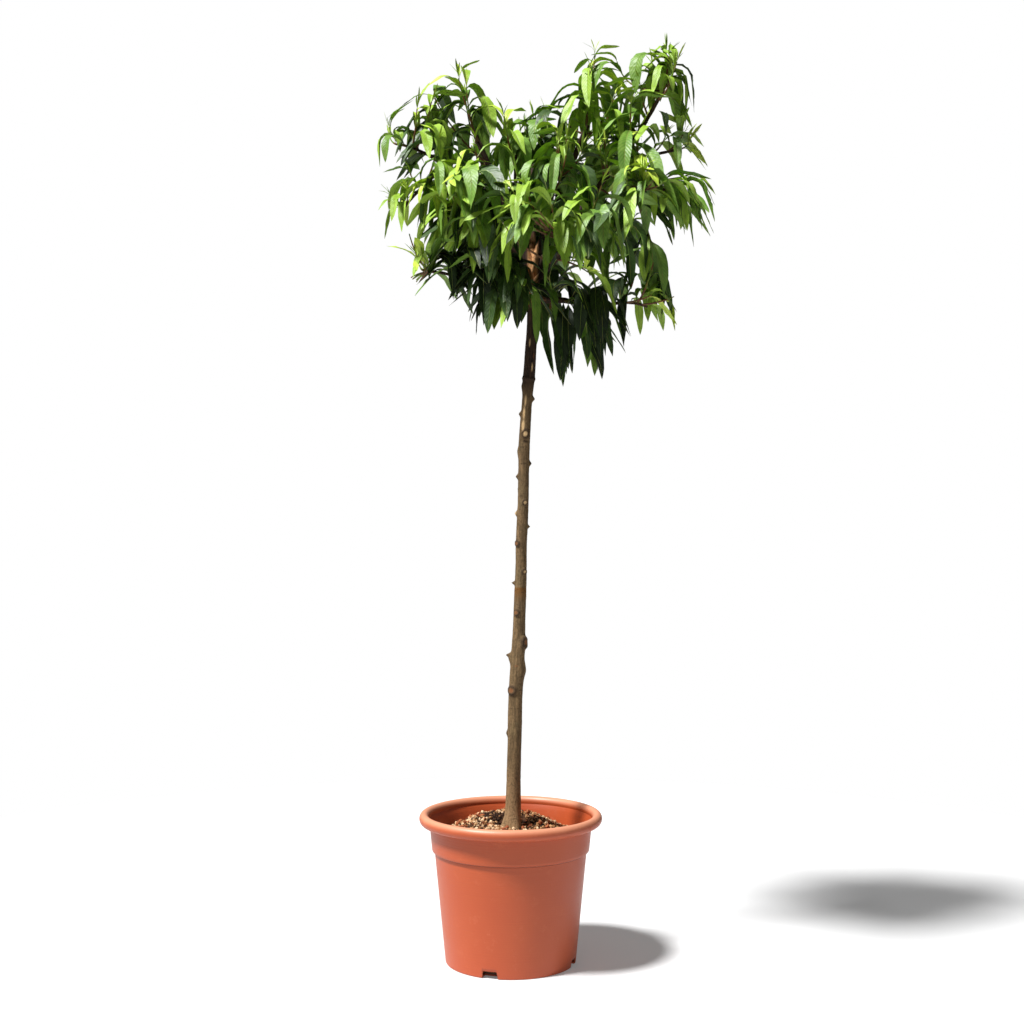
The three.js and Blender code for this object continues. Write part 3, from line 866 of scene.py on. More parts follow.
def bark_finish():
    bark = Finish("bark", Specular_IOR_Level=0.25)
    height = bark.place_along("Z")
    streaks = bark.ramp(bark.grain(scale=240, detail=5, stretch=(1, 1, 0.14), roughness=0.65), 0.32, 0.68)
    lenticels = bark.ramp(bark.grain(scale=230, detail=3, stretch=(0.35, 0.35, 1.6)), 0.60, 0.70)
    patches = bark.grain(scale=28, detail=5)
    old = old_bark(bark, height, streaks, patches)
    # painted shade: the young bark's purple-brown is partly its own colour, partly painted shade under the
    # crown
    young = bark.blend(streaks, *PURPLE_BROWN_AND_PAINTED_SHADE)
    skin = bark.blend(bark.ramp(height + streaks * 0.012, *GRAFT_BAND), old, young)
    # painted sunlight: the bark round the first fork is painted orange-brown as if lit by the sun
    painted_sunlight = bark.blend(streaks, *PAINTED_SUNLIT_BARK)
    aside = abs(bark.place_along("X") - TRUNK_FORK[0])
    fork = bark.ramp(height + patches * 0.03, *PAINTED_SUN_BAND) * (1 - bark.ramp(height, *BOUGH_BAND))
    skin = bark.blend(fork * (1 - bark.ramp(aside, *PAINTED_SUN_REACH)), skin, painted_sunlight)
    skin = bark.blend(lenticels * 0.5, skin, LENTICEL)
    for mark, (share, colour) in MARK_COATS.items():
        skin = bark.blend(bark.attribute(mark) * share, skin, colour)
    bark.paint(skin, 0.7 + streaks * 0.25)
    bark.bump(streaks * 0.8 + lenticels * 0.3 + bark.grain(scale=700) * 0.3, distance=0.0012, strength=0.7)
    return bark


bark = bark_finish()
hand_over("trunk_bark", trunk_skin, bark, ["trunk"])

# %% [markdown]
# ## Boughs
#
# Thirteen boughs leave the trunk at its first fork and just below, two more leave the leaders above
# it, and nine thinner branches cross the open sky. Each bends and tapers as in the plain model, and
# where a limb leaves its parent it swells into a collar.

# %% The limbs' routes
LIMBS = {
    # where it starts, a middle that bends it, where it ends, and the radii of both ends
    "bough_left_leader": ((.039, 0, 1.290), (-.005, .012, 1.407), (-.066, .024, 1.545), .0085, .0046),
    "bough_right_leader": ((.040, 0, 1.290), (.080, .020, 1.405), (.145, .044, 1.570), .0090, .0048),
    "bough_right": ((.041, 0, 1.282), (.116, -.008, 1.384), (.182, -.004, 1.466), .0075, .0052),
    "bough_left": ((.040, 0, 1.276), (-.035, -.016, 1.372), (-.106, -.050, 1.446), .0070, .0048),
    "bough_low_left": ((.042, 0, 1.238), (.004, -.008, 1.262), (-.044, -.016, 1.266), .0060, .0046),
    "bough_back_left": ((.039, 0, 1.288), (-.014, .056, 1.344), (-.088, .118, 1.378), .0075, .0050),
    "bough_back_right": ((.042, 0, 1.284), (.092, .058, 1.346), (.170, .126, 1.384), .0075, .0050),
    "bough_back_top": ((.040, 0, 1.290), (.042, .052, 1.400), (.044, .130, 1.536), .0070, .0046),
    "bough_back": ((.041, 0, 1.262), (.034, .084, 1.330), (.024, .180, 1.400), .0064, .0044),
    "bough_front": ((.041, 0, 1.276), (.062, -.044, 1.350), (.082, -.106, 1.446), .0062, .0044),
    "bough_front_right": ((.042, 0, 1.262), (.074, -.064, 1.290), (.112, -.140, 1.318), .0064, .0044),
    "bough_low_right": ((.042, 0, 1.228), (.098, -.026, 1.238), (.146, -.058, 1.210), .0064, .0044),
    "bough_low_back": ((.042, 0, 1.214), (.034, .056, 1.246), (.036, .120, 1.268), .0062, .0044),
    "bough_middle": ((.066, .012, 1.362), (.084, .036, 1.430), (.074, .048, 1.530), .0046, .0034),
    "bough_top_middle": ((.006, .008, 1.382), (.010, -.004, 1.440), (.009, -.016, 1.500), .0044, .0034),
    "branch_far_left": ((-.134, -.054, 1.482), (-.172, -.036, 1.508), (-.206, -.014, 1.520), .0032, .0024),
    "branch_left_hanging": ((-.134, -.06, 1.456), (-.168, -.062, 1.428), (-.194, -.06, 1.394), .0032, .0024),
    "branch_left_low": ((-.076, -.022, 1.264), (-.116, -.032, 1.280), (-.152, -.040, 1.280), .0032, .0024),
    "branch_upper_right": ((.212, -.004, 1.504), (.252, -.012, 1.560), (.282, -.020, 1.618), .0044, .0032),
    "branch_far_right": ((.212, .008, 1.496), (.264, .026, 1.508), (.316, .040, 1.524), .0034, .0024),
    "branch_right_hanging": ((.210, -.010, 1.478), (.262, -.034, 1.446), (.308, -.048, 1.410), .0036, .0026),
    "branch_right_front": ((.206, -.022, 1.462), (.224, -.070, 1.438), (.238, -.112, 1.412), .0034, .0026),
    "branch_right_low": ((.206, -.004, 1.476), (.248, -.016, 1.408), (.255, -.020, 1.330), .0036, .0026),
    "branch_lower_right": ((.166, -.062, 1.212), (.216, -.026, 1.232), (.254, -.002, 1.220), .0032, .0024),
}
print(len(LIMBS), "limbs, and the plain model has", len(LIMB_NODES))

# %% [markdown]
# Each limb is rolled from a grid as the trunk was, along the curve that its three points give: it
# sets out towards the second and ends at the third, so it bends without a kink. All limbs share the
# bark, so they are joined into one mesh.

# %% Bark on the limbs
LIMB_AROUND = 14
LIMB_ALONG = 44
COLLAR_SWELL = 0.12
COLLAR_FADE = 0.05
LIMB_WAVES = ((110, 110, 0.0007), (420, 420, 0.0003))


def bend(points, shares):
    """Places on the curve that sets out from the first point to the second and ends at the third."""
    first, second, third = (np.array(point, float) for point in points)
    shares = np.asarray(shares, float)[..., None]
    return first * (1 - shares) ** 2 + second * 2 * shares * (1 - shares) + third * shares ** 2


def limb_relief(vert, ring, turn):
    return uneven(vert.co, LIMB_WAVES)


def limb_mesh():
    bm = bmesh.new()
    for name in COLOUR_MARKS:
        bm.verts.layers.float.new(name)
    shares = np.linspace(0, 1, LIMB_ALONG + 1)
    for start, middle, end, thick, thin in LIMBS.values():
        collar = thick * COLLAR_SWELL * np.exp(-shares / COLLAR_FADE)
        radii = thick + (thin - thick) * shares + collar
        rolled(bm, bend((start, middle, end), shares), radii, LIMB_AROUND, limb_relief)
    bmesh.ops.holes_fill(bm, edges=bm.edges, sides=0)
    bmesh.ops.recalc_face_normals(bm, faces=bm.faces)
    return mesh_of(bm, "bough_bark", BARK_SHARP)


hand_over("bough_bark", limb_mesh(), bark, LIMB_NODES)

# %% [markdown]
# ## Where leaves may be
#
# The plain masses say where leaves may be, and the sky between them says where they may not. So
# the masses' surfaces are kept as one tree of triangles, which answers quickly how far a place
# lies from them. A ray straight up tells the inside: from there it crosses the surface an odd number
# of times. Shoots end inside the masses, and no leaf may stray far out of them.

# %% The masses as a test
UP = Vector((0, 0, 1))
STEP_ON = 1e-6


def surface_of(names):
    points, faces = [], []
    for name in names:
        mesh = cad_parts[name].data
        faces += [[len(points) + corner for corner in face.vertices] for face in mesh.polygons]
        points += [vert.co.copy() for vert in mesh.vertices]
    return BVHTree.FromPolygons(points, faces)


def outside_by(place, surface):
    """How far a place lies outside closed surfaces, which is below 0 inside them."""
    start = Vector(place)
    away = surface.find_nearest(start)[3]
    inside = False
    while True:
        hit = surface.ray_cast(start, UP)[0]
        if hit is None:
            return -away if inside else away
        inside = not inside
        start = hit + UP * STEP_ON


FOLIAGE = surface_of(MASS_NODES)
mass_faces = sum(len(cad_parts[name].data.polygons) for name in MASS_NODES)
print("the masses' surface holds", mass_faces, "faces")

# %% [markdown]
# Two places need a word more. In the heart of the crown the rounded masses meet in creases, which
# leaves may cross. In front of the fork a slit stays open, through which the trunk shows, and so
# does a tunnel towards the sun, which starts a little off the bark, so that the light reaches it.

# %% Heart, slit and tunnel
HEART = np.array([0.050, -0.020, 1.325])
HEART_HALF = np.array([0.150, 0.205, 0.145])
SLIT = np.array([[0.029, -0.300, 1.250], [0.056, -0.012, 1.335]])
SUN_FROM = np.array([-0.459, -0.265, 0.848])  # the way to the sun, one metre long
BEAM_STARTS = 0.020  # from the fork, in metres
BEAM_RADIUS = 0.038


def in_heart(place):
    return np.linalg.norm((place - HEART) / HEART_HALF) < 1


def in_slit(place):
    return bool(np.all(place > SLIT[0]) and np.all(place < SLIT[1]))


def in_beam(place):
    """Whether a place would keep the sun from the fork."""
    away = place - TRUNK_FORK
    along = away @ SUN_FROM
    return along > BEAM_STARTS and np.linalg.norm(away - along * SUN_FROM) < BEAM_RADIUS


def leaf_may_pass(place, stray):
    if in_slit(place) or in_beam(place):
        return False
    return in_heart(place) or outside_by(place, FOLIAGE) < stray


print("the heart of the crown is", 2 * HEART_HALF, "metres wide, deep and tall")

# %% [markdown]
# ## One leaf
#
# A peach leaf is long and narrow. It leaves the shoot at a slant, bends over and hangs, so its
# midrib comes first: the slope turns from the first to the last angle over part of the length, and
# the steps along that slope are added up. Leaves are small and many, so their points are worked out
# as arrays.

# %% The bend of a leaf
LEAF_STEPS = np.array([0, 0.05, 0.10, 0.17, 0.26, 0.36, 0.46, 0.56, 0.66, 0.76, 0.86, 0.94, 1])
BEND_FROM = (0, 0.08)
BEND_OVER = (0.34, 0.84)
SWAY = 0.8  # radians, as the next two are
ROLL = 0.25
TWIST = 0.4


def midrib(base, heading, rise, fall, length, chance):
    """Places along a leaf that leaves at the slope rise and hangs at the slope fall, and its frame."""
    middles = (LEAF_STEPS + np.roll(LEAF_STEPS, 1)) / 2
    middles[0] = 0
    turned = np.clip((middles - chance.uniform(*BEND_FROM)) / chance.uniform(*BEND_OVER), 0, 1)
    slope = rise + (fall - rise) * turned * turned * (3 - 2 * turned)
    sway = heading + chance.uniform(-SWAY, SWAY) * middles ** 2
    level = np.cos(slope)
    along = np.column_stack([level * np.cos(sway), level * np.sin(sway), np.sin(slope)])
    steps = np.diff(LEAF_STEPS, prepend=0) * length
    side = np.column_stack([np.sin(sway), -np.cos(sway), np.zeros(len(sway))])
    face = np.cross(side, along)
    roll = (chance.uniform(-ROLL, ROLL) + chance.gauss(0, TWIST) * LEAF_STEPS)[:, None]
    side, face = side * np.cos(roll) + face * np.sin(roll), face * np.cos(roll) - side * np.sin(roll)
    return base + np.cumsum(along * steps[:, None], axis=0), side, face


print("a midrib is", len(LEAF_STEPS), "places long")

# %% [markdown]
# The blade is a sheet of five rows of points along that midrib. It is folded there, deeper at the
# stalk than at the tip, and bowed a little from side to side, and its two edges wave. Its upper side
# looks away from the ground.

# %% The blade
LEAF_ACROSS = np.array([-1, -0.5, 0, 0.5, 1])
STALK = 0.06
STALK_WIDTH = 0.05
TIP_FROM = 0.98
TIP_WIDTH = 0.012
WIDENS = 0.85
NARROWS = 0.92
WIDEST = 0.294  # what the lance's formula gives at its widest place
FOLD = (18, 44)  # degrees by which each half is raised
FOLD_FADE = 0.5
BOW = (0, 0.25)
EDGE_WAVES = (2.2, 3.8)
EDGE_LAG = 1.9  # by which the two edges wave apart
EDGE_START = (0, 6)
EDGE_HEIGHT = (0.04, 0.16)


def blade_width(shares):
    """The half width along a leaf, from 0 to 1: a thin stalk, then a lance with a drawn-out tip."""
    along = np.clip((shares - STALK) / (1 - STALK), 0, 1)
    lance = along ** WIDENS * (1 - along) ** NARROWS
    return np.maximum(lance / WIDEST, np.where(shares < TIP_FROM, STALK_WIDTH, TIP_WIDTH))


def blade(centres, side, face, half_width, chance):
    """The leaf's sheet: folded along the midrib, bowed across, with a wavy edge."""
    fold = math.radians(chance.uniform(*FOLD)) * (1 - FOLD_FADE * LEAF_STEPS)[:, None]
    width = (blade_width(LEAF_STEPS) * half_width)[:, None]
    out = LEAF_ACROSS[None, :]
    waves = math.tau * chance.uniform(*EDGE_WAVES) * LEAF_STEPS[:, None] + EDGE_LAG * np.sign(out)
    wave = np.sin(waves + chance.uniform(*EDGE_START)) * np.abs(out)
    wave = wave * chance.uniform(*EDGE_HEIGHT) * width
    aside = out * width * np.cos(fold)
    lift = np.abs(out) * width * np.sin(fold) - chance.uniform(*BOW) * out ** 2 * width + wave
    points = centres[:, None] + side[:, None] * aside[..., None] + face[:, None] * lift[..., None]
    return points.reshape(-1, 3), BLADE_FACES


def blade_faces():
    rows, across = len(LEAF_STEPS), len(LEAF_ACROSS)
    corners = [row * across + i for row in range(rows - 1) for i in range(across - 1)]
    return np.array([(a, a + 1, a + across + 1, a + across) for a in corners])


BLADE_FACES = blade_faces()
print("a blade has", 2 * len(BLADE_FACES), "triangles")

# %% [markdown]
# The midrib stands out below the blade and runs on as the stalk. Both are one slim prism, a tube of
# three sides round the same centres. The tube's points and faces have helpers of their own, because
# the twigs use them too.

# %% The rib
RIB_SIDES = 3
RIB_THIN = 0.020
RIB_GROWS = 0.050


def tube_faces(rings, sides):
    """Triangles of a closed tube, with each ring's points numbered in turn."""
    faces = []
    for ring in range(rings - 1):
        for side in range(sides):
            a, b = ring * sides + side, ring * sides + (side + 1) % sides
            faces += [(a, b, b + sides), (a, b + sides, a + sides)]
    last = (rings - 1) * sides
    for side in range(1, sides - 1):
        faces += [(0, side + 1, side), (last, last + side, last + side + 1)]
    return np.array(faces)


def tube_points(centres, radii, right, far, sides):
    turns = np.arange(sides) * math.tau / sides
    ring = right[:, None] * np.cos(turns)[None, :, None] + far[:, None] * np.sin(turns)[None, :, None]
    return (centres[:, None] + ring * radii[:, None, None]).reshape(-1, 3)


def rib(centres, side, face, half_width):
    """The midrib and stalk: a slim prism that stands out most below the leaf."""
    radii = half_width * (RIB_THIN + RIB_GROWS * (1 - LEAF_STEPS))
    return tube_points(centres, radii, side, -face, RIB_SIDES), RIB_FACES


RIB_FACES = tube_faces(len(LEAF_STEPS), RIB_SIDES)
print("a rib has", len(RIB_FACES), "triangles")

# %% [markdown]
# ## Leaves along a shoot
#
# All that grows is kept together: the shoots, the leaves sorted into five tones, their ribs, and a
# few spots on each leaf, which tell later where the crown is still empty. Each leaf is told its
# youth and its sun, both from 0 to 1. They decide its tone, with a little chance: an old leaf in the
# shade is deep green, a young one in the sun yellow-green. The tone by sun is partly the leaves' own
# colour and partly painted light and shade: sunny leaves are painted lighter, shaded ones darker.

# %% The crown and its tones
TONES = ("deep", "dark", "mid", "fresh", "young")
# the sun sets a leaf's tone partly as painted light and shade
TONE_BY_SUN_AND_PAINTED_LIGHT = 3.7
TONE_BY_YOUTH = 1.3
TONE_STRAY = 0.6
OLD_LEAF_LEVEL = 3.3
Shoot = namedtuple("Shoot", "points sun")


class Crown:
    """What has grown so far: shoots, leaves by tone, ribs, and spots that the leaves pass."""

    def __init__(self):
        self.shoots, self.ribs, self.spots = [], [], []
        self.leaves = {tone: [] for tone in TONES}


def tone_of(chance, sun, youth):
    level = min(TONE_BY_SUN_AND_PAINTED_LIGHT * sun + chance.gauss(0, TONE_STRAY), OLD_LEAF_LEVEL) + TONE_BY_YOUTH * youth
    return TONES[min(max(round(level), 0), len(TONES) - 1)]


def add_blade(crown, chance, tone, centres, side, face, half_width):
    crown.leaves[tone].append(blade(centres, side, face, half_width, chance))
    crown.ribs.append(rib(centres, side, face, half_width))


print("leaf tones:", *TONES)

# %% [markdown]
# Old leaves spread widely and hang, young ones at the tip are small and still point along the shoot.
# Leaves in the shade are longer and droop more. A leaf that would hang out of the foliage tries
# again, turned and a little shorter, and is left out at last: that keeps the gaps where the sky
# shows.

# %% Placing one leaf
LEAF_LONG = 0.172
LEAF_SLIM = 0.106
SLIMNESS = (0.78, 1.12)
OLD_LEAN = (38, 72)  # degrees away from the shoot
YOUNG_LEAN = (12, 38)
HANG = (46, 90)  # degrees below level, for the outer part of an old leaf
YOUNG_DROOP = (10, 60)
RAISED = (0, 0.5)
RAISED_IN_SHADE = 0.3
RAISED_BY_SUN = 0.7
SHADE_DROOP = 0.5
UPRIGHT = 0.15
TRIES = 9
TRY_TURN = 0.8
TRY_SHORTER = 0.035
CHECKED_STEPS = (5, 8, 10, 12)
SPOT_STEPS = (4, 7, 10)
TINY = 1e-6


def stays_in(centres, stray):
    return all(leaf_may_pass(centres[step], stray) for step in CHECKED_STEPS)


def add_leaf(crown, chance, place, along, bearing, size, youth, sun, stray):
    """Adds a leaf at a place on a shoot, if it fits into the foliage."""
    right = np.cross(along, (0, 0, 1.0))
    right = right / max(np.linalg.norm(right), TINY)
    for attempt in range(TRIES):
        turn = bearing + attempt * TRY_TURN * chance.uniform(-1, 1)
        out = right * math.sin(turn) + np.cross(right, along) * math.cos(turn)
        lean = math.radians(chance.uniform(*OLD_LEAN) * (1 - youth) + chance.uniform(*YOUNG_LEAN) * youth)
        aim = along * math.cos(lean) + out * math.sin(lean)
        raised = RAISED_IN_SHADE + RAISED_BY_SUN * sun
        aim[2] += chance.uniform(*RAISED) * raised - SHADE_DROOP * (1 - sun) ** 2
        aim /= np.linalg.norm(aim)
        flat = aim[:2] if math.hypot(*aim[:2]) > UPRIGHT else out[:2]
        heading = math.atan2(flat[1], flat[0])
        rise = math.asin(aim[2])
        hang = -math.radians(chance.uniform(*HANG))
        fall = hang * (1 - youth) + (rise - math.radians(chance.uniform(*YOUNG_DROOP))) * youth
        length = LEAF_LONG * size * (1 - TRY_SHORTER * attempt)
        centres, side, face = midrib(place, heading, rise, fall, length, chance)
        if stays_in(centres, stray):
            half_width = length * LEAF_SLIM * chance.uniform(*SLIMNESS)
            add_blade(crown, chance, tone_of(chance, sun, youth), centres, side, face, half_width)
            crown.spots += [centres[step] for step in SPOT_STEPS]
            return


print("a leaf gets", TRIES, "tries to find its place")

# %% [markdown]
# Leaves stand round a shoot in a spiral, each about 137.5 degrees on from the last, so none lies
# straight above its neighbour. Only the outer end of a shoot, up to some 105 mm, bears leaves, closer
# together towards the tip. A shaded shoot bears fewer of them, and larger ones.

# %% Leaves along a shoot
SPIRAL = math.radians(137.5)
SPIRAL_STRAY = 0.25
SETS_OUT_FLAT = (0.55, 0.85)
SETS_OUT_STEEP = (0.15, 0.45)
LEAFY_SHARE = 0.86
LEAFY_LENGTH = 0.105
FEWEST_LEAVES = 6
COUNT_IN_SHADE = 0.6
COUNT_BY_SUN = 0.4
CLOSER_AT_TIP = 1.2
YOUNG_REACH = 0.032
YOUTH_IN_SHADE = 0.4
YOUTH_BY_SUN = 0.6
SIZES = (0.84, 1.14)
SUN_SHRINKS = 0.36
YOUTH_SHRINKS = 0.48


def grow(crown, chance, start, tip, sun, stray, between):
    """A shoot that leaves its limb rather flat and turns up towards its tip, with its leaves."""
    start, tip = np.array(start, float), np.array(tip, float)
    length = np.linalg.norm(tip - start)
    flat, steep = chance.uniform(*SETS_OUT_FLAT), chance.uniform(*SETS_OUT_STEEP)
    middle = start + (tip - start) * (flat, flat, steep)
    crown.shoots.append(Shoot((start, middle, tip), sun))
    bearing = chance.uniform(0, math.tau)
    leafy = min(LEAFY_SHARE * length, LEAFY_LENGTH)
    count = max(FEWEST_LEAVES, round(leafy / between * (COUNT_IN_SHADE + COUNT_BY_SUN * sun)))
    for share in 1 - leafy / length * np.linspace(1, 0, count) ** CLOSER_AT_TIP:
        bearing += SPIRAL + chance.uniform(-SPIRAL_STRAY, SPIRAL_STRAY)
        along = 2 * (1 - share) * (middle - start) + 2 * share * (tip - middle)
        near_tip = 1 - smooth((1 - share) * length / YOUNG_REACH)
        youth = near_tip * (YOUTH_IN_SHADE + YOUTH_BY_SUN * sun)
        size = chance.uniform(*SIZES) * (1 - SUN_SHRINKS * sun) * (1 - YOUTH_SHRINKS * youth)
        add_leaf(crown, chance, bend((start, middle, tip), share), along / np.linalg.norm(along),
                 bearing, size, youth, sun, stray)


print("leaves stand", math.degrees(SPIRAL), "degrees apart")

# %% [markdown]
# Some shoots give the tree its outline: the two tall ones at the upper right, the lean one at the
# upper left, the whorls that reach out at both sides. They are named here, with the limb that each
# grows from, how far along it, where its tip is, and how much sun it gets, from 0 for the old dark
# leaves inside to 1 for the youngest. Each has a chance of its own, seeded by its name, so a change
# to one leaves the others as they are.

# %% Leading shoots
LEADERS = {
    # the limb, the share of its length, the tip, and the sun
    "left_top": ("bough_left_leader", 0.90, (-0.098, 0.010, 1.650), 0.90),
    "left_front": ("bough_left_leader", 0.80, (-0.144, -0.012, 1.611), 0.35),
    "far_left_tip": ("branch_far_left", 0.70, (-0.226, -0.015, 1.552), 0.65),
    "left_arch": ("bough_left", 0.85, (-0.128, -0.050, 1.502), 0.30),
    "left_middle": ("branch_left_hanging", 0.40, (-0.184, -0.060, 1.456), 0.60),
    "left_whorl": ("branch_left_hanging", 0.10, (-0.148, -0.090, 1.432), 0.95),
    "centre_left": ("bough_left", 0.60, (-0.064, -0.100, 1.508), 0.75),
    "young_middle": ("bough_top_middle", 0.80, (-0.012, -0.055, 1.562), 0.80),
    "top_middle": ("bough_right_leader", 0.95, (0.160, 0.050, 1.706), 0.85),
    "top_cluster": ("bough_right_leader", 0.90, (0.194, -0.010, 1.612), 0.95),
    "top_right": ("branch_upper_right", 0.95, (0.292, 0.010, 1.700), 0.60),
    "top_middle_front": ("bough_right_leader", 0.93, (0.148, 0.000, 1.662), 1.00),
    "top_right_inner": ("branch_upper_right", 0.60, (0.240, -0.030, 1.620), 0.65),
    "right_tip": ("branch_far_right", 0.80, (0.326, 0.040, 1.552), 0.55),
    "far_right_tip": ("branch_right_hanging", 0.45, (0.330, -0.020, 1.462), 0.70),
    "right_small": ("branch_right_hanging", 0.30, (0.286, -0.020, 1.456), 0.45),
    "front_centre": ("bough_front_right", 0.95, (0.158, -0.196, 1.404), 0.70),
    "front_high": ("bough_front", 0.95, (0.086, -0.150, 1.492), 0.60),
    "front_left": ("bough_front_right", 0.80, (0.072, -0.196, 1.370), 0.40),
    "light_front": ("bough_front_right", 0.60, (0.136, -0.168, 1.258), 1.00),
    "lower_right_tip": ("branch_lower_right", 0.85, (0.304, -0.010, 1.238), 0.90),
    "lower_right_mid": ("branch_lower_right", 0.50, (0.262, -0.020, 1.240), 0.75),
    "right_inner_low": ("bough_right", 0.85, (0.206, -0.050, 1.352), 0.30),
    "lower_right_under": ("branch_lower_right", 0.35, (0.228, -0.030, 1.268), 0.35),
    "left_low_tip": ("branch_left_low", 0.80, (-0.172, -0.040, 1.304), 0.85),
    "low_left_tip": ("bough_low_left", 0.95, (-0.084, -0.030, 1.296), 0.15),
    "low_left_under": ("branch_left_low", 0.30, (-0.098, -0.030, 1.284), 0.20),
    "inner_left_tip": ("bough_low_left", 0.30, (-0.004, -0.080, 1.272), 0.15),
    "bottom_middle": ("bough_low_right", 0.50, (0.106, -0.048, 1.222), 0.15),
    "bottom_right": ("bough_low_right", 0.85, (0.160, -0.064, 1.240), 0.05),
    "bottom_front": ("bough_low_right", 0.65, (0.126, -0.070, 1.222), 0.10),
    "bottom_tip": ("bough_low_right", 0.75, (0.148, -0.050, 1.210), 0.15),
    "bottom_low": ("bough_low_right", 0.60, (0.112, -0.056, 1.228), 0.05),
    "bottom_by_trunk": ("bough_low_right", 0.35, (0.070, -0.085, 1.264), 0.00),
    "inner_low": ("bough_low_left", 0.15, (0.008, -0.085, 1.248), 0.45),
    "right_hanging_low": ("branch_right_hanging", 0.70, (0.322, -0.050, 1.428), 0.50),
    "right_hanging_front": ("branch_right_hanging", 0.55, (0.288, -0.085, 1.420), 0.60),
    "right_low_tip": ("branch_right_low", 0.75, (0.260, -0.025, 1.336), 0.25),
    "upper_right_front": ("branch_upper_right", 0.15, (0.218, -0.070, 1.580), 0.50),
    "far_right_under": ("branch_far_right", 0.45, (0.290, 0.000, 1.542), 0.50),
    "bottom_left": ("bough_low_left", 0.50, (-0.032, -0.050, 1.290), 0.05),
}
LEADER_SEED = 19
LEADER_STRAY = 0.020
LEADER_BETWEEN = 0.0080


def lead(crown):
    for name, (limb, share, tip, sun) in LEADERS.items():
        chance = random.Random(f"{LEADER_SEED} {name}")
        grow(crown, chance, bend(LIMBS[limb][:3], share), tip, sun, LEADER_STRAY, LEADER_BETWEEN)


crown = Crown()
lead(crown)
print(len(LEADERS), "leading shoots with", len(crown.ribs), "leaves")

# %% [markdown]
# The other shoots follow a rule. The emptiest of a few chance places is found, the one furthest from
# any leaf, and a shoot is grown to a point above it, because leaves hang below their shoot. It
# starts on a limb that it can reach well, so nothing floats. High and outer shoots get the most sun,
# while inner and low ones are shaded and large-leaved, and their leaves are painted dark as shade.

# %% Where the next shoot goes
TIP_DEPTH = 0.006
HANG_OVER = (0.085, 0.065, 0.045, 0.025, 0.005)
RISES_BY = 0.045  # what a shoot should rise from its limb to its tip
DROP_COSTS = 2  # metres counted for each metre that it misses of that
SUN_BAND = (1.20, 1.52)
SUN_REACH = (0.08, 0.26)
SUN_BY_HEIGHT = 0.52
SUN_BY_REACH = 0.38
SUN_STRAY = (-0.30, 0.24)
JOIN_SHARES = np.linspace(0.25, 1, 16)
JOINS = [bend(row[:3], share) for row in LIMBS.values() for share in JOIN_SHARES]


def chance_place(chance, low, high, holds):
    while True:
        place = np.array([chance.uniform(a, b) for a, b in zip(low, high)])
        if holds(place):
            return place


def emptiest(crown, places):
    """The place that is furthest from any leaf, and how far that is."""
    spots = np.array(crown.spots)
    gaps = [np.linalg.norm(spots - place, axis=1).min() for place in places]
    best = int(np.argmax(gaps))
    return places[best], gaps[best]


def above(place):
    """A shoot's tip over a place, as high as the foliage allows."""
    for rise in HANG_OVER:
        tip = place + (0, 0, rise)
        if in_heart(tip) or outside_by(tip, FOLIAGE) < -TIP_DEPTH:
            return tip
    return place


# the sun also sets the leaves' tone, so inner leaves are painted darker as shade and outer ones lighter
def sun_at(chance, tip):
    lit = smooth((tip[2] - SUN_BAND[0]) / (SUN_BAND[1] - SUN_BAND[0]))
    aside = math.dist(tip[:2], HEART[:2])
    outer = smooth((aside - SUN_REACH[0]) / (SUN_REACH[1] - SUN_REACH[0]))
    return min(max(SUN_BY_HEIGHT * lit + SUN_BY_REACH * outer + chance.uniform(*SUN_STRAY), 0), 1)


def reach(join, tip):
    """How far a shoot has to go from a limb, counted longer where it would have to grow down."""
    return math.dist(join, tip) + DROP_COSTS * max(0, join[2] - tip[2] + RISES_BY)


print("shoots may start at", len(JOINS), "places on the limbs")

# %% [markdown]
# The heart of the crown is filled first and then the masses one by one. When even the emptiest place
# has a leaf near by, the mass is full. The outer masses are kept more open than the others, as the
# sky shows through them.

# %% Filling the masses
FILL_SEED = 23
FILL_STRAY = 0.012
FILL_BETWEEN = 0.0115
MOST_SHOOTS = 16
TRIED_PLACES = 24
NEAREST = 2  # how many of the best starts a shoot chooses from
FULL = 0.025
OPEN_MASSES = {
    # how far from any leaf the emptiest place of a mass may be, where that isn't FULL
    "far_left": 0.031, "left_hanging": 0.030, "left_low": 0.032, "left_shoulder": 0.029,
    "left_leader": 0.028, "left_middle": 0.027, "far_right": 0.032, "right_hanging": 0.030,
    "right_low": 0.030, "lower_right": 0.034, "middle_shoot": 0.034, "top_middle": 0.032,
    "back_top": 0.034, "low_left": 0.032, "inner_left": 0.030, "bottom_right": 0.034,
    "bottom_middle": 0.030, "back_low": 0.034, "back_left_high": 0.032,
}


def fill(crown, chance, low, high, holds, full):
    """Grows shoots into the part of a box that a test holds to, until it is full."""
    for _ in range(MOST_SHOOTS):
        places = [chance_place(chance, low, high, holds) for _ in range(TRIED_PLACES)]
        place, gap = emptiest(crown, places)
        if gap < full:
            return
        tip = above(place)
        joins = sorted(JOINS, key=lambda join: reach(join, tip))
        start = joins[chance.randrange(NEAREST)]
        grow(crown, chance, start, tip, sun_at(chance, tip), FILL_STRAY, FILL_BETWEEN)


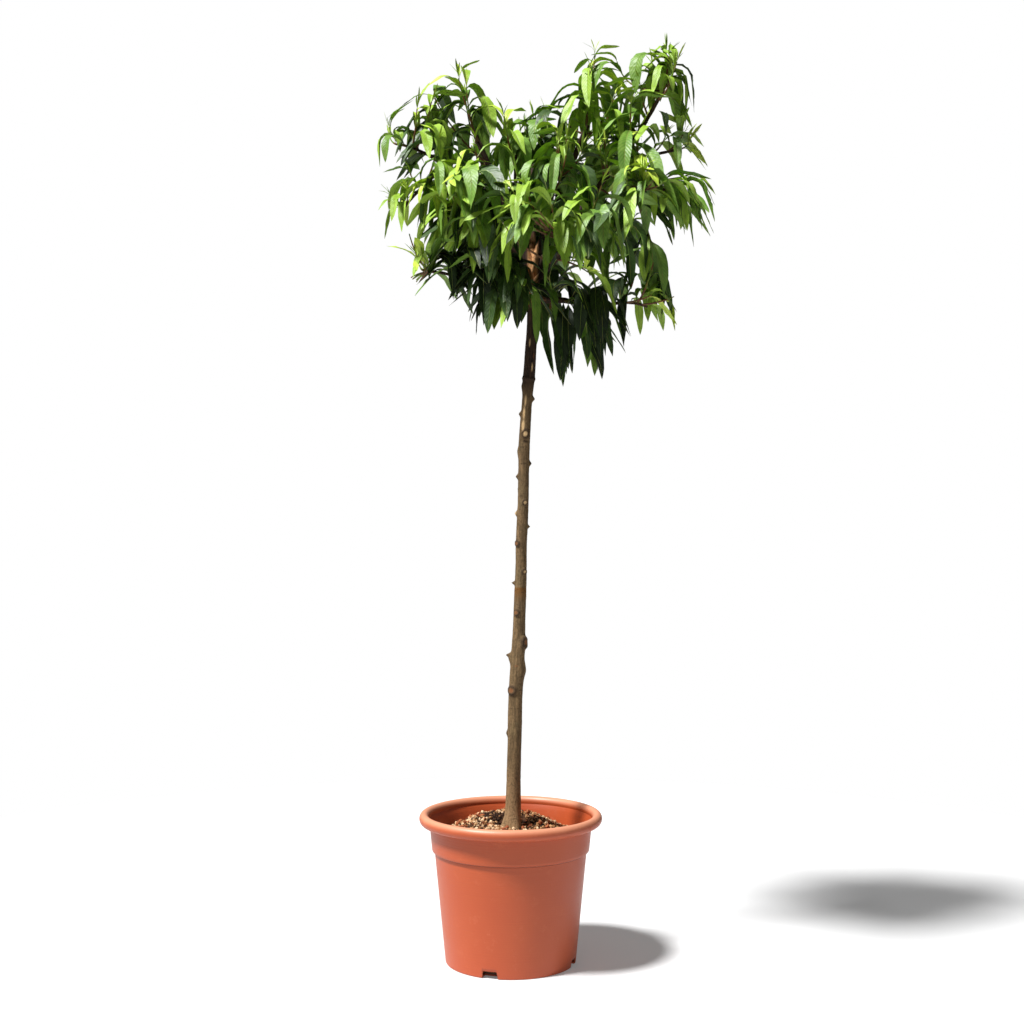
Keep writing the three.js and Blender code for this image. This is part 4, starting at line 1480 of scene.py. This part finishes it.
chance = random.Random(f"{FILL_SEED} heart")
fill(crown, chance, HEART - HEART_HALF, HEART + HEART_HALF, in_heart, FULL)
print("heart of the crown:", len(crown.ribs), "leaves so far")
for name in MASS_NODES:
    before = len(crown.ribs)
    chance = random.Random(f"{FILL_SEED} {name}")
    surface = surface_of([name])
    low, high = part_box(name)
    open_by = OPEN_MASSES.get(name.removeprefix("mass_"), FULL)
    fill(crown, chance, low, high, lambda place: outside_by(place, surface) < -TIP_DEPTH, open_by)
    print(name, len(crown.ribs) - before, "leaves")
by_tone = {tone: len(own) for tone, own in crown.leaves.items()}
print(len(crown.shoots), "shoots, leaves by tone", by_tone)

# %% [markdown]
# At the very tip of a sunny, upright shoot the youngest leaves are still furled: three slim spears
# of 20 to 40 mm that point onwards and up. They are grown last, with a chance of their own, so that
# they change nothing below them.

# %% Furled leaves at the tips
SPEAR_SEED = 5
SPEARS = 3
SPEAR_SUN = 0.45
SPEAR_UP = 0.80
SPEAR_LENGTH = (0.020, 0.040)
SPEAR_SLIM = 0.055
SPEAR_ASIDE = 0.35
SPEAR_LIFT = (0.1, 0.5)
SPEAR_BEND = (-0.2, 0.9)


def tip_aim(shoot):
    way = shoot.points[2] - shoot.points[1]
    return way / np.linalg.norm(way)


def add_spear(crown, chance, shoot):
    tip = shoot.points[2]
    aside = [chance.uniform(-SPEAR_ASIDE, SPEAR_ASIDE) for _ in "xy"]
    aim = tip_aim(shoot) + [*aside, chance.uniform(*SPEAR_LIFT)]
    aim /= np.linalg.norm(aim)
    rise = math.asin(aim[2])
    length = chance.uniform(*SPEAR_LENGTH)
    heading = math.atan2(aim[1], aim[0])
    fall = rise - chance.uniform(*SPEAR_BEND)
    centres, side, face = midrib(tip, heading, rise, fall, length, chance)
    add_blade(crown, chance, chance.choice(("fresh", "young")), centres, side, face, length * SPEAR_SLIM)


chance = random.Random(SPEAR_SEED)
for shoot in crown.shoots:
    if shoot.sun > SPEAR_SUN and tip_aim(shoot)[2] > SPEAR_UP:
        for _ in range(SPEARS):
            add_spear(crown, chance, shoot)
print(len(crown.ribs), "leaves with the furled ones")

# %% [markdown]
# A shoot itself is a thin tube. There are hundreds, so they are worked out as arrays: a ring of six
# points at each step, and one list of triangles that every tube of that size shares. The part near
# the limb is last year's brown wood, the rest is this year's green.

# %% Twigs
TWIG_SIDES = 6
TWIG_STEPS = 14
TWIG_THICK = 0.0022
TWIG_THIN = 0.0010
WOOD_UNTIL = 0.45
OVERLAP = 0.01
TWIG_FACES = tube_faces(TWIG_STEPS, TWIG_SIDES)


def twig(points, low, high):
    """One stretch of a shoot, from the low share of its length to the high one."""
    shares = np.linspace(low, high, TWIG_STEPS)
    centres = bend(points, shares)
    right, far = rings_along(centres)
    radii = TWIG_THICK + (TWIG_THIN - TWIG_THICK) * shares
    return tube_points(centres, radii, right, far, TWIG_SIDES), TWIG_FACES


twig_bark = Finish("twig_bark", Specular_IOR_Level=0.35)
flecks = twig_bark.grain(scale=380, detail=4)
twig_bark.paint(twig_bark.blend(flecks, shade(84, 58, 40), shade(140, 100, 68)), 0.55 + flecks * 0.2)
twig_bark.bump(flecks, distance=0.0006, strength=0.6)
wood = [twig(one.points, 0, WOOD_UNTIL) for one in crown.shoots]
hand_over("twigs", joined("twigs", wood), twig_bark, [])

young_bark = Finish("young_shoot", Specular_IOR_Level=0.4)
blush = young_bark.ramp(young_bark.grain(scale=60, detail=3), 0.42, 0.62)
young_bark.paint(young_bark.blend(blush, shade(112, 140, 48), shade(124, 70, 44)), 0.42 + blush * 0.1)
young_bark.bump(young_bark.grain(scale=500), distance=0.0003, strength=0.4)
green = [twig(one.points, WOOD_UNTIL - OVERLAP, 1) for one in crown.shoots]
hand_over("young_shoots", joined("young_shoots", green), young_bark, [])

# %% [markdown]
# Each blade gets a small map of its own, across and along, on which its veins are drawn. The edges
# along a midrib are marked sharp, so that the two halves of a blade catch the light apart.

# %% Maps and creases
def with_blade_map(mesh, count):
    """Gives each blade of a joined mesh a map: x across it and y along it, both from 0 to 1."""
    across, along = np.meshgrid((LEAF_ACROSS + 1) / 2, LEAF_STEPS)
    own = np.column_stack([across.ravel(), along.ravel()])
    corners = BLADE_FACES.ravel()
    mesh.uv_layers.new(name="blade").data.foreach_set("uv", np.tile(own[corners], (count, 1)).ravel())


def crease(mesh):
    """Marks the edges along each midrib sharp. They join points in the middle of a row."""
    ends = np.empty(2 * len(mesh.edges), dtype=np.int32)
    mesh.edges.foreach_get("vertices", ends)
    on_midrib = ends.reshape(-1, 2) % len(LEAF_ACROSS) == len(LEAF_ACROSS) // 2
    mesh.edges.foreach_set("use_edge_sharp", on_midrib.all(axis=1))


print("a blade's map has", BLADE_FACES.size, "corners")

# %% [markdown]
# Each tone is its own mesh with its own narrow range of colour: deep and dark for old leaves inside,
# fresh and young for the sunny tips. Besides the leaves' own green, these tones are painted shade
# inside the crown and painted sunlight at the tips. Leaves are waxy, so the light glides over them in
# broad highlights, which ripples break up. Fine side veins run over the map as a slanting wave, a
# little paler and a little raised.

# %% Leaf finishes
# deep and dark are partly the leaves' own green and partly painted shade, fresh and young partly painted
# sunlight
LEAF_COLOURS = {
    "deep": (shade(26, 41, 18), shade(43, 64, 28)),
    "dark": (shade(47, 71, 29), shade(74, 104, 45)),
    "mid": (shade(94, 136, 46), shade(132, 169, 66)),
    "fresh": (shade(138, 177, 53), shade(168, 202, 70)),
    "young": (shade(170, 202, 58), shade(206, 226, 84)),
}
VEINS = 18
VEIN_SLANT = 2.2
RIPPLE = 60


def leaf_finish(tone):
    leaf = Finish("leaf_" + tone, Specular_IOR_Level=0.50)
    place = leaf.node("UVMap", {"uv_map": "blade"})
    across = leaf.node("SeparateXYZ", {}, {0: place}, output="X")
    along = leaf.node("SeparateXYZ", {}, {0: place}, output="Y")
    aside = abs(across - 0.5) * 2
    veins = ((along * VEINS - aside * VEIN_SLANT) * math.tau).sine() * 0.5 + 0.5
    mottle = leaf.grain(scale=36, detail=3)
    ripple = leaf.grain(scale=RIPPLE, detail=2)
    colour = leaf.blend(leaf.ramp(mottle, 0.36, 0.64) * 0.6 + veins * 0.4, *LEAF_COLOURS[tone])
    leaf.paint(colour, 0.40 + mottle * 0.16)
    leaf.bump(ripple + veins * 0.08, distance=0.003, strength=0.8)
    return leaf


for tone, group in crown.leaves.items():
    mesh = joined("leaves_" + tone, group)
    with_blade_map(mesh, len(group))
    mesh.polygons.foreach_set("use_smooth", [True] * len(mesh.polygons))
    crease(mesh)
    replaced = MASS_NODES if tone == "mid" else []
    hand_over("leaves_" + tone, mesh, leaf_finish(tone), replaced)

# %% [markdown]
# The ribs are paler than the blades, some of them green and some nearly yellow, and smooth.

# %% Ribs
ribs = Finish("leaf_ribs", Specular_IOR_Level=0.4)
tint = ribs.ramp(ribs.grain(scale=45), 0.4, 0.62)
ribs.paint(ribs.blend(tint, shade(128, 158, 74), shade(150, 148, 84)), 0.45 + tint * 0.1)
ribs.bump(ribs.grain(scale=700), distance=0.0002, strength=0.3)
hand_over("leaf_ribs", joined("leaf_ribs", crown.ribs), ribs, [])

# %% [markdown]
# ## Light, floor and camera
#
# The tree stands on a plain pale floor, a round sheet of 1.9 m radius: a larger one would throw too
# much light up under the leaves. A faint glow of its own keeps the shadows on it soft.

# %% The floor
FLOOR_RADIUS = 1.9
FLOOR_SIDES = 96
FLOOR_GLOW = 0.14
WHITE = (1, 1, 1, 1)

bm = bmesh.new()
bmesh.ops.create_circle(bm, cap_ends=True, segments=FLOOR_SIDES, radius=FLOOR_RADIUS)
floor = bpy.data.objects.new("floor", mesh_of(bm, "floor"))
bpy.context.scene.collection.objects.link(floor)
pale = Finish("pale_floor", Specular_IOR_Level=0.1, Emission_Color=WHITE,
              Emission_Strength=FLOOR_GLOW)
sweep = pale.grain(scale=3, detail=3)
pale.paint(pale.blend(sweep, shade(214, 214, 214), shade(217, 217, 217)), 0.85 + sweep * 0.1)
floor.data.materials.append(pale.material)
print("the floor is", 2 * FLOOR_RADIUS, "metres across")

# %% [markdown]
# One broad sun from the upper left gives the leaves their bright and dark sides, and a weak sky fills
# in. The camera sees that sky at full strength, through a mix of two backgrounds.

# %% Sun and sky
KEY_STRENGTH = 5.9
KEY_SOFTNESS = 10  # degrees that the sun's disc is wide
SKY_STRENGTH = 0.15

key = bpy.data.lights.new("key", "SUN")
key.energy = KEY_STRENGTH
key.angle = math.radians(KEY_SOFTNESS)
key_lamp = bpy.data.objects.new("key", key)
key_lamp.rotation_euler = Vector(SUN_FROM).to_track_quat("Z", "Y").to_euler()
bpy.context.scene.collection.objects.link(key_lamp)


def sky():
    """A white backdrop for the camera, and a weaker one that fills the shadows."""
    world = bpy.data.worlds.new("studio")
    world.use_nodes = True
    tree = world.node_tree
    backdrop = tree.nodes["Background"]
    backdrop.inputs["Color"].default_value = WHITE
    fill = tree.nodes.new("ShaderNodeBackground")
    fill.inputs["Color"].default_value = WHITE
    fill.inputs["Strength"].default_value = SKY_STRENGTH
    seen = tree.nodes.new("ShaderNodeLightPath")
    mix = tree.nodes.new("ShaderNodeMixShader")
    tree.links.new(seen.outputs["Is Camera Ray"], mix.inputs[0])
    tree.links.new(fill.outputs[0], mix.inputs[1])
    tree.links.new(backdrop.outputs[0], mix.inputs[2])
    tree.links.new(mix.outputs[0], tree.nodes["World Output"].inputs["Surface"])
    return world


scene = bpy.context.scene
scene.world = sky()
scene.view_settings.view_transform = "Standard"
print("sun", KEY_STRENGTH, "and sky", SKY_STRENGTH)

# %% [markdown]
# The camera is level, at the height from which the picture was taken, and its lens gives the
# picture's field of view.

# %% The camera
CAMERA_PLACE = (0.0024, -2.8, 0.837)
CAMERA_LENS = 52.7
SENSOR_WIDTH = 36

camera = bpy.data.cameras.new("camera")
camera.lens = CAMERA_LENS
camera.sensor_width = SENSOR_WIDTH
camera_rig = bpy.data.objects.new("camera", camera)
camera_rig.location = CAMERA_PLACE
camera_rig.rotation_euler = (math.radians(90), 0, 0)
scene.collection.objects.link(camera_rig)
scene.camera = camera_rig
print("camera", CAMERA_PLACE, "lens", CAMERA_LENS)
